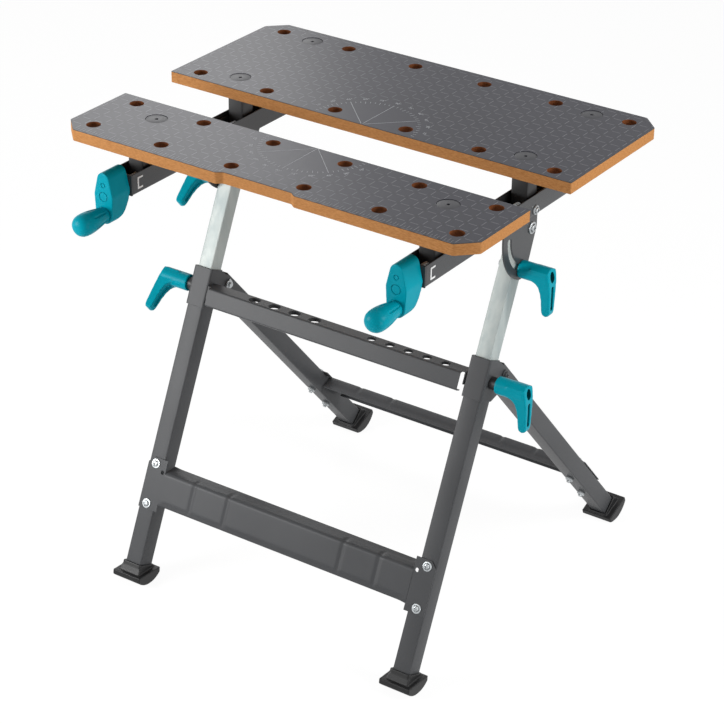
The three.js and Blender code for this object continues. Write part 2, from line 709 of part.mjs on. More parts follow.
// Screws that hold the plates in the beams
const plateScrew = bolt(
  PLATE_SCREW_DIAMETER,
  BOLT_HEAD_DIAMETER,
  BEAM_WIDTH / 2 + SEAT_GAP,
  plateInner - SEAT_GAP / 2,
);
for (const mesh of Object.values(addPair(table, 'plate_screw', plateScrew, finishes.zinc))) {
  mesh.position.set(mesh.position.x, plateScrewYs[0], plateScrewZ);
}

// Front leg frame: drawn along the legs, with its origin at the tilt pivot
const frontFrame = new THREE.Group();
frontFrame.position.z = pivotHeight;
frontFrame.rotation.x = -lean;

// Inner tubes, with the pivot bolt and the tilt clamp bolt across them
const innerTube = cut(
  tube(INNER_WIDTH, INNER_DEPTH, TUBE_WALL, INNER_HEAD - INNER_LENGTH, INNER_HEAD),
  rod('x', boltHole, -INNER_WIDTH, INNER_WIDTH),
  rod('x', boltHole, -INNER_WIDTH, INNER_WIDTH, [0, 0, -SLOT_RADIUS]),
);
addPair(frontFrame, 'inner_tube', innerTube, finishes.galvanised);

const lugInner = -BEAM_WIDTH / 2 - SEAT_GAP;
const pivotBolt = join(
  bolt(BOLT_DIAMETER, BOLT_HEAD_DIAMETER, plateOuter + SEAT_GAP, lugInner - NUT_HEIGHT),
  hexNut(lugInner - NUT_HEIGHT, lugInner),
);
addPair(frontFrame, 'tilt_pivot_bolt', pivotBolt, finishes.zinc);

const tiltLeverSeat = plateOuter + SEAT_GAP;
const tiltClampBolt = bolt(
  BOLT_DIAMETER,
  BOLT_HEAD_DIAMETER,
  -INNER_WIDTH / 2 - SEAT_GAP,
  tiltLeverSeat + LEVER_BORE - SEAT_GAP,
);
for (const mesh of Object.values(addPair(frontFrame, 'tilt_clamp_bolt', tiltClampBolt, finishes.zinc))) {
  mesh.position.z = -SLOT_RADIUS;
}

// Places that follow from the legs' heights
const legTop = -LEG_TOP;
const heightClampZ = legTop - CLAMP_BELOW_TOP;
const rearPivotZ = legTop - PIVOT_BELOW_TOP;
const toFloor = (y, z) => [
  y * Math.cos(lean) + z * Math.sin(lean),
  pivotHeight - y * Math.sin(lean) + z * Math.cos(lean),
];
const [rearPivotY, rearPivotHeight] = toFloor(PIVOT_BEHIND, rearPivotZ);

// Feet: the height of the sole's chord over the floor, and the legs' lengths from it
const soleRadius = (FOOT_CHORD ** 2 / 4 + FOOT_SAGITTA ** 2) / (2 * FOOT_SAGITTA);
const soleCentre = soleRadius - FOOT_SAGITTA;
const chordHeight = (cant) => soleRadius - soleCentre * Math.cos(cant) - FOOT_FLAT;
const frontCant = FOOT_CANT * DEGREE - lean;
const rearCant = rearLean - FOOT_CANT * DEGREE;
const frontFootDrop = (pivotHeight - chordHeight(frontCant)) / Math.cos(lean);
const rearFootDrop = (rearPivotHeight - chordHeight(rearCant)) / Math.cos(rearLean);
const legEnd = FOOT_POCKET + SEAT_GAP;

// Front legs, drilled for the height clamps
const frontLeg = cut(
  tube(legWidth, legDepth, TUBE_WALL, legEnd - frontFootDrop, legTop),
  rod('x', boltHole, 0, legWidth, [0, 0, heightClampZ]),
);
addPair(frontFrame, 'front_leg', frontLeg, finishes.darkSteel);

// Collars: sheet wrapped round the front of the leg, with ears that hold the rear leg
const collarHalf = legWidth / 2 + SEAT_GAP + COLLAR_SHEET;
const collarFront = -legDepth / 2 - SEAT_GAP - COLLAR_SHEET;
const collarBottom = legTop - COLLAR_HEIGHT;
const wrap = bentSheet([
  [-collarHalf, EAR_REACH + 10],
  [-collarHalf, collarFront],
  [collarHalf, collarFront],
  [collarHalf, EAR_REACH + 10],
], COLLAR_SHEET, COLLAR_BEND);
const earSide = bentLine([
  [collarFront - 1, legTop],
  [EAR_TOP_START, legTop],
  [EAR_SHOULDER, rearPivotZ + EAR_SHOULDER_RISE],
  [EAR_REACH, rearPivotZ - EAR_TIP_DROP],
  [EAR_REACH - EAR_TIP_SLANT, rearPivotZ - EAR_TIP_DROP - EAR_TIP_HEIGHT],
  [PIVOT_BEHIND, rearPivotZ - EAR_BELLY_DROP],
  [EAR_BOTTOM_START, collarBottom],
  [collarFront - 1, collarBottom],
], EAR_ROUND);
const collar = cut(
  extruded('z', wrap, collarBottom, legTop)
    .intersect(extruded('x', new THREE.Shape(earSide), -collarHalf - 1, collarHalf + 1)),
  rod('x', boltHole, 0, collarHalf + 1, [0, 0, heightClampZ]),
  rod('x', boltHole, -collarHalf - 1, collarHalf + 1, [0, PIVOT_BEHIND, rearPivotZ]),
);
addPair(frontFrame, 'collar', collar, finishes.darkSteel);

// Height clamps: a bolt that presses on the inner tube, and a spacer under its lever
const spacerInner = collarHalf + SEAT_GAP;
const heightLeverSeat = spacerInner + SPACER_LENGTH + SEAT_GAP;
const spacer = cut(
  rod('x', SPACER_DIAMETER, spacerInner, spacerInner + SPACER_LENGTH),
  rod('x', boltHole, 0, heightLeverSeat),
);
const heightClampBolt = rod(
  'x',
  BOLT_DIAMETER,
  INNER_WIDTH / 2 + SEAT_GAP,
  heightLeverSeat + LEVER_BORE - SEAT_GAP,
);
for (const mesh of Object.values(addPair(frontFrame, 'height_spacer', spacer, finishes.blackPlastic))) {
  mesh.position.z = heightClampZ;
}
for (const mesh of Object.values(addPair(frontFrame, 'height_clamp_bolt', heightClampBolt, finishes.zinc))) {
  mesh.position.z = heightClampZ;
}

// Rear pivot bolts through the ears
const rearPivotBolt = join(
  bolt(BOLT_DIAMETER, BOLT_HEAD_DIAMETER, spacerInner, -spacerInner - NUT_HEIGHT),
  hexNut(-spacerInner - NUT_HEIGHT, -spacerInner),
);
for (const mesh of Object.values(addPair(frontFrame, 'rear_pivot_bolt', rearPivotBolt, finishes.zinc))) {
  mesh.position.set(mesh.position.x, PIVOT_BEHIND, rearPivotZ);
}

// Crossbar: a bent strip between the collars, its flange falling a little to the rear and drilled for tools
const crossbarEnd = sideOffset - collarHalf - SEAT_GAP;
const crossbarTop = -CROSSBAR_TOP;
const flangeRise = lean - CROSSBAR_FLANGE_FALL * DEGREE;
const flangeEdge = (y, z, reach) => [
  y + reach * Math.cos(flangeRise),
  z + reach * Math.sin(flangeRise),
];
const crossbarFlangeEnd = flangeEdge(-CROSSBAR_FORWARD, crossbarTop, CROSSBAR_FLANGE);
const crossbarProfile = bentSheet([
  crossbarFlangeEnd,
  [-CROSSBAR_FORWARD, crossbarTop],
  [-CROSSBAR_FORWARD, crossbarTop - CROSSBAR_FACE],
  [CROSSBAR_LIP - CROSSBAR_FORWARD, crossbarTop - CROSSBAR_FACE],
], SHEET, SHEET_BEND);
const crossbarFlange = bentSheet([
  crossbarFlangeEnd,
  flangeEdge(-CROSSBAR_FORWARD, crossbarTop, SHEET_BEND * 2),
], SHEET, 0);
const [tabRear, tabTop] = [crossbarFlangeEnd[0], crossbarFlangeEnd[1] - SHEET / 2];
const tabFront = tabRear - CROSSBAR_TAB_DEPTH;
const crossbarTab = polygon([
  [tabFront, tabTop - CROSSBAR_TAB_DEPTH * Math.tan(flangeRise)],
  [tabRear, tabTop],
  [tabRear, tabTop - CROSSBAR_TAB],
  [tabFront, tabTop - CROSSBAR_TAB],
]);
const smallHoleXs = Array.from(
  { length: SMALL_HOLE_COUNT },
  (_, i) => crossbarEnd - SMALL_HOLE_INSET - i * SMALL_HOLE_PITCH,
);
const largeHoleXs = Array.from(
  { length: LARGE_HOLE_COUNT },
  (_, i) => LARGE_HOLE_INSET - crossbarEnd + i * LARGE_HOLE_PITCH,
);
function toolHole(diameter, x) {
  const hole = new THREE.CylinderGeometry(diameter / 2, diameter / 2, 3 * CROSSBAR_LIP, BOLT_SIDES);
  const middle = flangeEdge(-CROSSBAR_FORWARD, crossbarTop, CROSSBAR_FLANGE / 2);
  return solid(along('z', hole).rotateX(flangeRise).translate(x, ...middle));
}
const toolHoles = [
  ...smallHoleXs.map((x) => toolHole(SMALL_HOLE_DIAMETER, x)),
  ...largeHoleXs.map((x) => toolHole(LARGE_HOLE_DIAMETER, x)),
];
const crossbar = cut(
  join(
    extruded('x', crossbarProfile, CROSSBAR_SETBACK - crossbarEnd, crossbarEnd - CROSSBAR_SETBACK),
    extruded('x', crossbarFlange, -crossbarEnd, crossbarEnd),
    extruded('x', crossbarTab, -crossbarEnd, SHEET - crossbarEnd),
    extruded('x', crossbarTab, crossbarEnd - SHEET, crossbarEnd),
  ),
  ...toolHoles,
);
addPiece(frontFrame, 'crossbar', geometryOf(crossbar), finishes.darkSteel);

// Stretchers: embossed panels with flanges between the legs and tabs on the legs' outer faces
function stretcher(top, width, depth, flangeAngle) {
  const face = -depth / 2 - SEAT_GAP - SHEET;
  const panelTop = top - STRETCHER_TAB_ABOVE;
  const panelBottom = panelTop - STRETCHER_PANEL;
  const tabBottom = top - STRETCHER_TAB;
  const between = sideOffset - width / 2 - 2 * SEAT_GAP;
  const tabEnd = sideOffset + width / 2;
  const reach = STRETCHER_FLANGE;
  const profile = bentSheet([
    [face + reach * Math.cos(flangeAngle), panelTop + reach * Math.sin(flangeAngle)],
    [face, panelTop],
    [face, panelBottom],
    [face + STRETCHER_LIP, panelBottom],
  ], SHEET, SHEET_BEND);
  const sides = [-1, 1].map((side) => {
    const near = side * (between - 3 * STRETCHER_RELIEF);
    const far = side * tabEnd;
    const corner = side * (tabEnd - STRETCHER_CORNER);
    return extruded('y', polygon([
      [near, panelTop - SHEET_BEND],
      [side * between, panelTop - SHEET_BEND],
      [side * between, top],
      [corner, top],
      [far, top - STRETCHER_CORNER],
      [far, tabBottom],
      [side * between, tabBottom],
      [side * between, panelBottom + SHEET_BEND],
      [near, panelBottom + SHEET_BEND],
    ]), face, face + SHEET);
  });
  const reliefs = [-1, 1].map((side) => (
    rod('y', 2 * STRETCHER_RELIEF, face - 1, face + depth, [side * between, 0, panelTop])
  ));
  const [outer, inner] = [between - EMBOSS_SIDE_LENGTH, between - 2 * EMBOSS_SIDE_LENGTH];
  const splits = [-outer, -inner, inner, outer];
  const edges = [-between, ...splits, between];
  const pads = splits.concat(between).map((right, i) => {
    const left = edges[i];
    const [length, height] = [right - left - EMBOSS_MARGIN, STRETCHER_PANEL - 2 * EMBOSS_MARGIN];
    const shape = roundedRectangle(length, height, EMBOSS_CORNER);
    const pad = extrusion('y', shape, face - EMBOSS_HEIGHT, face + SHEET, EMBOSS_HEIGHT * 0.6, 1);
    return solid(pad.translate((left + right) / 2, 0, (panelTop + panelBottom) / 2));
  });
  return cut(join(extruded('x', profile, -between, between), ...sides, ...pads), ...reliefs);
}
const frontStretcher = stretcher(FRONT_STRETCHER_RISE - frontFootDrop, legWidth, legDepth, lean);
addPiece(frontFrame, 'front_stretcher', geometryOf(frontStretcher), finishes.darkSteel);

// Rear leg frame: drawn along the rear legs, with its origin at the rear pivot
const rearFrame = new THREE.Group();
rearFrame.position.set(0, rearPivotY, rearPivotHeight);
rearFrame.rotation.x = rearLean;

const rearLeg = cut(
  tube(REAR_LEG_WIDTH, REAR_LEG_DEPTH, TUBE_WALL, legEnd - rearFootDrop, REAR_LEG_HEAD),
  rod('x', boltHole, -REAR_LEG_WIDTH, REAR_LEG_WIDTH),
);
addPair(rearFrame, 'rear_leg', rearLeg, finishes.darkSteel);

const rearStretcher = stretcher(REAR_STRETCHER_RISE - rearFootDrop, REAR_LEG_WIDTH, REAR_LEG_DEPTH, lean);
const rearPanel = addPiece(rearFrame, 'rear_stretcher', geometryOf(rearStretcher), finishes.darkSteel);
rearPanel.rotation.z = Math.PI;

// Feet: a sleeve on the leg, a flared body and a rocker sole with a small flat, upright on the floor
function foot(turn, cant, width, depth) {
  const sole = new THREE.Shape();
  const rise = Math.atan2(soleCentre, FOOT_CHORD / 2);
  sole.moveTo(-FOOT_CHORD / 2, FOOT_LIP);
  sole.lineTo(-FOOT_CHORD / 2, 0);
  sole.absarc(0, soleCentre, soleRadius, Math.PI + rise, 2 * Math.PI - rise);
  sole.lineTo(FOOT_CHORD / 2, FOOT_LIP);
  const soleShape = new THREE.Shape(pointsOf(sole));
  const rocker = extrusion('x', soleShape, -FOOT_WIDTH / 2, FOOT_WIDTH / 2).rotateX(cant);
  const sleeveWidth = width + 2 * FOOT_SLEEVE_WALL;
  const sleeveDepth = depth + 2 * FOOT_SLEEVE_WALL;
  const flareDrop = FOOT_CHORD / 2 * Math.tan(FOOT_CANT * DEGREE);
  const flareHeight = FOOT_FLARE_TOP + flareDrop;
  const flareSpread = 1 + 2 * FOOT_FLARE_STEP / sleeveWidth;
  const flare = new THREE.CylinderGeometry(Math.SQRT1_2, Math.SQRT1_2 * flareSpread, flareHeight, 4);
  flare.rotateY(Math.PI / 4).rotateX(Math.PI / 2).scale(sleeveWidth, sleeveDepth, 1);
  flare.translate(0, 0, flareHeight / 2 - flareDrop).rotateX(turn);
  const underChord = new THREE.BoxGeometry(2 * FOOT_WIDTH, 2 * FOOT_CHORD, FOOT_CHORD);
  underChord.translate(0, 0, -FOOT_CHORD / 2).rotateX(cant);
  const sleeve = roundedRectangle(sleeveWidth, sleeveDepth, TUBE_CORNER + SEAT_GAP);
  const pocket = roundedRectangle(width + 2 * SEAT_GAP, depth + 2 * SEAT_GAP, TUBE_CORNER);
  const sleeveTube = extrusion('z', sleeve, FOOT_FLARE_TOP - 1, FOOT_SLEEVE_TOP).rotateX(turn);
  const legPocket = extrusion('z', pocket, FOOT_POCKET, FOOT_SLEEVE_TOP + 1).rotateX(turn);
  const floor = -chordHeight(cant);
  return cut(
    join(cut(solid(flare), solid(underChord)), solid(sleeveTube), solid(rocker)),
    solid(legPocket),
    block([-FOOT_CHORD, -2 * FOOT_CHORD, floor - FOOT_CHORD], [FOOT_CHORD, 2 * FOOT_CHORD, floor]),
  );
}

const stand = new THREE.Group();
const feet = {
  front_foot: {
    shape: foot(-lean, frontCant, legWidth, legDepth),
    y: -frontFootDrop * Math.sin(lean),
    z: chordHeight(frontCant),
  },
  rear_foot: {
    shape: foot(rearLean, rearCant, REAR_LEG_WIDTH, REAR_LEG_DEPTH),
    y: rearPivotY + rearFootDrop * Math.sin(rearLean),
    z: chordHeight(rearCant),
  },
};
for (const [name, { shape, y, z }] of Object.entries(feet)) {
  for (const mesh of Object.values(addPair(stand, name, shape, finishes.blackPlastic))) {
    mesh.position.set(mesh.position.x, y, z);
  }
}

// Clamp levers: a hub on the bolt and a curved arm; the right ones hang, the left ones are swung forward
const leverTipX = LEVER_HUB_LENGTH - LEVER_TIP_RADIUS + LEVER_FLARE;
const armShape = new THREE.Shape();
armShape.moveTo(LEVER_HUB_LENGTH * 0.45, LEVER_HUB_DIAMETER * 0.3);
armShape.lineTo(LEVER_HUB_LENGTH * 0.45, -LEVER_HUB_DIAMETER * 0.36);
armShape.quadraticCurveTo(
  leverTipX - LEVER_TIP_RADIUS - LEVER_THROAT,
  -LEVER_HUB_DIAMETER * 0.5,
  leverTipX - LEVER_TIP_RADIUS,
  -LEVER_REACH,
);
armShape.absarc(leverTipX, -LEVER_REACH, LEVER_TIP_RADIUS, Math.PI, 2 * Math.PI);
armShape.quadraticCurveTo(
  leverTipX + LEVER_TIP_RADIUS,
  -LEVER_REACH * 0.4,
  LEVER_HUB_LENGTH - 1,
  LEVER_HUB_DIAMETER * 0.3,
);
const armOutline = new THREE.Shape(pointsOf(armShape, 4));
const leverArm = extruded('y', armOutline, -LEVER_WIDTH / 2, LEVER_WIDTH / 2, LEVER_ROUNDING, 1);
const hubEdge = LEVER_HUB_LENGTH - LEVER_ROUNDING;
const leverHub = turned('x', [
  [0, 0],
  [LEVER_HUB_DIAMETER / 2, 0],
  [LEVER_HUB_DIAMETER / 2, hubEdge],
  [LEVER_HUB_DIAMETER / 2 - LEVER_ROUNDING, LEVER_HUB_LENGTH],
  [0, LEVER_HUB_LENGTH],
]);
const leverEnd = roundedRectangle(LEVER_RECESS_WIDTH, LEVER_RECESS_LENGTH, LEVER_RECESS_WIDTH * 0.49);
const leverGroove = roundedRectangle(LEVER_GROOVE, LEVER_GROOVE_LENGTH, LEVER_GROOVE * 0.49);
const groove = extrusion('x', leverGroove, LEVER_HUB_LENGTH - LEVER_GROOVE, 2 * LEVER_HUB_LENGTH);
const lever = cut(
  join(leverHub, leverArm),
  rod('x', boltHole, -1, LEVER_BORE),
  extruded('x', leverEnd, LEVER_HUB_LENGTH - LEVER_GROOVE, 2 * LEVER_HUB_LENGTH),
  solid(groove.translate(0, 0, -LEVER_GROOVE_LENGTH)),
);
const levers = {
  tilt_lever: { seat: tiltLeverSeat, place: toFloor(0, -SLOT_RADIUS) },
  height_lever: { seat: heightLeverSeat, place: toFloor(0, heightClampZ) },
};
for (const [name, { seat, place }] of Object.entries(levers)) {
  const { right, left } = addPair(stand, name, lever, finishes.teal);
  right.position.set(right.position.x + seat, ...place);
  left.position.set(left.position.x - seat, ...place);
  left.rotation.x = -LEVER_LEFT_SWING * DEGREE;
}

// The bench, centred on its footprint and standing on z = 0
const bench = new THREE.Group();
bench.add(table, frontFrame, rearFrame, stand);
const extent = new THREE.Box3().setFromObject(bench, true);
const middle = extent.getCenter(new THREE.Vector3());
bench.position.set(-middle.x, -middle.y, -extent.min.z);

const workbench = new THREE.Group();
workbench.name = 'folding_workbench';
workbench.add(bench);

export default workbench;
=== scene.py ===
# Folding workbench: two vice jaws on a tilting table, over telescopic front legs and a folding rear frame.
import json
from math import atan2, copysign, cos, pi, radians, sin

import bmesh
import bpy
from mathutils import Matrix, Vector


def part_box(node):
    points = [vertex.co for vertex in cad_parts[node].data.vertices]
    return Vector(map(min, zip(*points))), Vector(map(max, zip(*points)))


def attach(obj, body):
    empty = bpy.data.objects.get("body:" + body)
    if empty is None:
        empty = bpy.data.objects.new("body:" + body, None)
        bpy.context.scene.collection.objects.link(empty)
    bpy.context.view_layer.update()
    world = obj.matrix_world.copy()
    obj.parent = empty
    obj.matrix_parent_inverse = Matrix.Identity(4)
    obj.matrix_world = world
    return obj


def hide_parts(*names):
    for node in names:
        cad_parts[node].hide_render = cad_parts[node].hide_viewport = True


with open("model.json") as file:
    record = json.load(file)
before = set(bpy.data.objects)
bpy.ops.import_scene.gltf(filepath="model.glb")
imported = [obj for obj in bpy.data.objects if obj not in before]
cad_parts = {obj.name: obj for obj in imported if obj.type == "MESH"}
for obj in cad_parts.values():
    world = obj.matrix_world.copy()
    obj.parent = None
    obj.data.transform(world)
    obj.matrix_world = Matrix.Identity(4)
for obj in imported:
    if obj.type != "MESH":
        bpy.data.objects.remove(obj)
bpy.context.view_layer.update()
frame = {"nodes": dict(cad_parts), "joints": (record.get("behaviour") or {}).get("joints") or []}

# Camera: a long lens at the front right, above the jaws, as a catalogue photographer sets it.
# It stands about 3.5 m from the bench, turned a degree about its own axis.
camera_place, camera_lens, camera_sensor = (1.7070, -2.5480, 1.9751), 121.89, 36
camera_turn, camera_rise, camera_roll = radians(33.9), radians(28.266), radians(0.969)
camera_back = Vector((
    sin(camera_turn) * cos(camera_rise), -cos(camera_turn) * cos(camera_rise), sin(camera_rise),
))
camera_right = Vector((cos(camera_turn), sin(camera_turn), 0))
camera_up = camera_back.cross(camera_right)
camera_axes = Matrix((
    cos(camera_roll) * camera_right + sin(camera_roll) * camera_up,
    cos(camera_roll) * camera_up - sin(camera_roll) * camera_right,
    camera_back,
)).transposed()
camera = bpy.data.objects.new("camera", bpy.data.cameras.new("camera"))
camera.data.lens = camera_lens
camera.data.sensor_width = camera_sensor
camera.data.clip_end = 40
camera.matrix_world = Matrix.Translation(camera_place) @ camera_axes.to_4x4()
bpy.context.scene.collection.objects.link(camera)
bpy.context.scene.camera = camera

# Front legs: two welded rectangular steel tubes, powder-coated dark grey, leaning away from the user.
# Their tops are open, and the inner tubes slide in them.
MM = 0.001
sides = (("R", 1), ("L", -1))
leg_spread = 233 * MM
joints = {joint["name"]: joint for joint in frame["joints"]}
tilt_pivot = Vector(joints["tilt"]["pos_m"])
leg_axis = Vector(joints["height"]["axis"])
leg_lean = atan2(leg_axis.y, leg_axis.z)


def at(spot, turn=0, axis="Z"):
    """A place, turned about one of its own axes"""
    return Matrix.Translation(spot) @ Matrix.Rotation(turn, 4, axis)


def paint(code):
    """A colour written as it looks on a screen, in linear light"""
    shares = [int(code[i:i + 2], 16) / 255 for i in (1, 3, 5)]
    return [c / 12.92 if c < 0.04045 else ((c + 0.055) / 1.055) ** 2.4 for c in shares] + [1]


def add_node(nodes, kind, values=None):
    """A new shader node with some of its sockets set"""
    node = nodes.new(f"ShaderNode{kind}")
    for socket, value in (values or {}).items():
        node.inputs[socket].default_value = value
    return node


def finish(
    name, dark, light, roughness, grain, bump, drift, metallic=0.0, specular=0.5, stretch=(1, 1, 1), lean=0,
):
    """A finish that drifts between two tones, with a fine grain that changes its gloss and its bump"""
    noise_low, noise_high, gloss_spread, relief_depth = 0.3, 0.7, 0.03, 0.1 * MM
    material = bpy.data.materials.new(name)
    material.use_nodes = True
    nodes, links = material.node_tree.nodes, material.node_tree.links
    shader = nodes["Principled BSDF"]
    shader.inputs["Metallic"].default_value = metallic
    shader.inputs["Specular IOR Level"].default_value = specular
    place = add_node(nodes, "TexCoord").outputs["Object"]
    spread = add_node(nodes, "Mapping", {"Rotation": (lean, 0, 0), "Scale": stretch})
    patches = add_node(nodes, "TexNoise", {"Scale": drift, "Detail": 4})
    tones = add_node(nodes, "ValToRGB")
    for stop, position, code in zip(tones.color_ramp.elements, (noise_low, noise_high), (dark, light)):
        stop.position = position
        stop.color = paint(code)
    fine = add_node(nodes, "TexNoise", {"Scale": grain, "Detail": 2})
    gloss = add_node(nodes, "MapRange", {
        "From Min": noise_low, "From Max": noise_high,
        "To Min": roughness - gloss_spread, "To Max": roughness + gloss_spread,
    })
    relief = add_node(nodes, "Bump", {"Strength": bump, "Distance": relief_depth})
    links.new(place, spread.inputs["Vector"])
    links.new(spread.outputs["Vector"], patches.inputs["Vector"])
    links.new(patches.outputs["Fac"], tones.inputs["Fac"])
    links.new(tones.outputs["Color"], shader.inputs["Base Color"])
    links.new(place, fine.inputs["Vector"])
    links.new(fine.outputs["Fac"], gloss.inputs["Value"])
    links.new(gloss.outputs["Result"], shader.inputs["Roughness"])
    links.new(fine.outputs["Fac"], relief.inputs["Height"])
    links.new(relief.outputs["Normal"], shader.inputs["Normal"])
    return material


def add_piece(name, bm, material, body, slot, *nodes, smooth=40):
    """Makes a piece of a mesh, shaded smooth over its small angles, riding on a body in place of nodes"""
    bm.normal_update()
    for face in bm.faces:
        face.smooth = True
    for edge in bm.edges:
        edge.smooth = edge.is_manifold and edge.calc_face_angle() < radians(smooth)
    mesh = bpy.data.meshes.new(name)
    bm.to_mesh(mesh)
    bm.free()
    for each in material if isinstance(material, list) else [material]:
        mesh.materials.append(each)
    piece = bpy.data.objects.new(name, mesh)
    bpy.context.scene.collection.objects.link(piece)
    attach(piece, body)
    if nodes:
        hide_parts(*nodes)
    return piece


def placed(bm, *places):
    """One mesh that holds a shape at several places"""
    whole = bmesh.new()
    shape = bpy.data.meshes.new("shape")
    bm.to_mesh(shape)
    bm.free()
    for place in places:
        before = set(whole.verts)
        whole.from_mesh(shape)
        added = [vert for vert in whole.verts if vert not in before]
        bmesh.ops.transform(whole, matrix=place, verts=added)
        if place.determinant() < 0:
            faces = {face for vert in added for face in vert.link_faces}
            bmesh.ops.reverse_faces(whole, faces=list(faces))
    bpy.data.meshes.remove(shape)
    return whole


def rounded(bm, edges, radius, segments):
    """Rounds some edges of a mesh"""
    bmesh.ops.bevel(
        bm, geom=edges, offset=radius, segments=segments, profile=0.5, affect="EDGES", material=-1,
    )


def face_outwards(bm):
    """Turns all faces of a mesh outwards"""
    bmesh.ops.recalc_face_normals(bm, faces=bm.faces[:])


def square_tube(width, depth, wall, corner, bottom, top):
    """A rectangular tube along Z with rounded corners, open at both ends"""
    bm = bmesh.new()
    size = Matrix.Diagonal((width, depth, top - bottom, 1))
    bmesh.ops.create_cube(bm, size=1, matrix=at((0, 0, (bottom + top) / 2)) @ size)
    bm.normal_update()
    ends = [face for face in bm.faces if abs(face.normal.z) > 0.5]
    bmesh.ops.delete(bm, geom=ends, context="FACES_ONLY")
    rounded(bm, [edge for edge in bm.edges if not edge.is_boundary], corner, segments=5)
    face_outwards(bm)
    bmesh.ops.solidify(bm, geom=bm.faces[:], thickness=wall)
    return bm


def add_tubes(name, node, sizes, along, material, body, slot):
    """Two like tubes, one at each side, along an axis that both share"""
    for hand, side in sides:
        tube = placed(square_tube(**sizes), along @ at((side * leg_spread, 0, 0)))
        add_piece(f"{name}_{hand}", tube, material, body, slot, f"{node}_{hand}")


along_front_legs = at(tilt_pivot, -leg_lean, "X")
powder_coat = finish("powder_coat", "#404143", "#464749", 0.4, grain=1300, bump=0.06, drift=9, specular=0.17)
front_leg = {
    "width": 27 * MM, "depth": 28.6 * MM, "wall": 1.3 * MM, "corner": 2 * MM,
    "bottom": -635.3 * MM, "top": -184 * MM,
}
add_tubes(
    "front_leg_tube", "front_leg", front_leg, along_front_legs, powder_coat, "front_frame", "painted_steel",
)

# Rear legs: the same tube a little narrower, hung between the collars' ears and splayed to the rear.
# Both turn on their pivot bolts when the bench is folded.
rear_pivot = Vector(joints["rear_fold"]["pos_m"])
rear_splay = radians(42)
along_rear_legs = at(rear_pivot, rear_splay, "X")
rear_leg = {
    "width": 25 * MM, "depth": 27.5 * MM, "wall": 1.3 * MM, "corner": 2 * MM,
    "bottom": -514.7 * MM, "top": 6.5 * MM,
}
add_tubes("rear_leg_tube", "rear_leg", rear_leg, along_rear_legs, powder_coat, "rear_frame", "painted_steel")

# Feet: black rubbery mouldings pushed on the legs' ends, with a thick curved sole that rocks on the floor.
# Sleeve and sole melt into one form, with edges as round as a mould leaves them.


def eased_copy(node, radius):
    """A copy of a CAD node, its triangles merged and its hard edges rounded"""
    bm = bmesh.new()
    bm.from_mesh(frame["nodes"][node].data)
    bmesh.ops.remove_doubles(bm, verts=bm.verts[:], dist=0.01 * MM)
    bmesh.ops.dissolve_limit(bm, angle_limit=radians(1), verts=bm.verts[:], edges=bm.edges[:])
    bm.normal_update()
    hard = [edge for edge in bm.edges if edge.is_manifold and edge.calc_face_angle() > radians(50)]
    rounded(bm, hard, radius, segments=2)
    return bm


def joined(first, *others):
    """One mesh that holds several"""
    for other in others:
        spare = bpy.data.meshes.new("spare")
        other.to_mesh(spare)
        other.free()
        first.from_mesh(spare)
        bpy.data.meshes.remove(spare)
    return first


def on_bench(bm):
    """A passing object with a mesh on it, for modifiers to work on"""
    work = bpy.data.objects.new("work", bpy.data.meshes.new("work"))
    bm.to_mesh(work.data)
    bpy.context.scene.collection.objects.link(work)
    return work


def off_bench(bm, work, *tools):
    """The mesh as its modifiers leave it, with the passing objects cleared away"""
    shape = work.evaluated_get(bpy.context.evaluated_depsgraph_get())
    bm.clear()
    bm.from_mesh(shape.to_mesh())
    shape.to_mesh_clear()
    for helper in (work, *tools):
        mesh = helper.data
        bpy.data.objects.remove(helper)
        bpy.data.meshes.remove(mesh)
    return bm


def melted(bm, voxel, rounds):
    """Shells melted into one skin of even faces, with its edges worn round"""
    work = on_bench(bm)
    melt = work.modifiers.new("melt", "REMESH")
    melt.mode = "VOXEL"
    melt.voxel_size = voxel
    soften = work.modifiers.new("soften", "SMOOTH")
    soften.factor = 0.5
    soften.iterations = rounds
    return off_bench(bm, work)


def bar(radius, length, segments, place):
    """A capped bar of many sides about a place, along its Z"""
    bm = bmesh.new()
    bmesh.ops.create_cone(
        bm, cap_ends=True, segments=segments, radius1=radius, radius2=radius, depth=length, matrix=place,
    )
    return bm


def all_of(bm):
    """All vertices, edges and faces of a mesh"""
    return bm.verts[:] + bm.edges[:] + bm.faces[:]


def sliced(bm, point, away):
    """Cuts off what lies beyond a plane and closes the cut"""
    bmesh.ops.bisect_plane(bm, geom=all_of(bm), plane_co=point, plane_no=away, clear_outer=True)
    bmesh.ops.holes_fill(bm, edges=[edge for edge in bm.edges if edge.is_boundary])


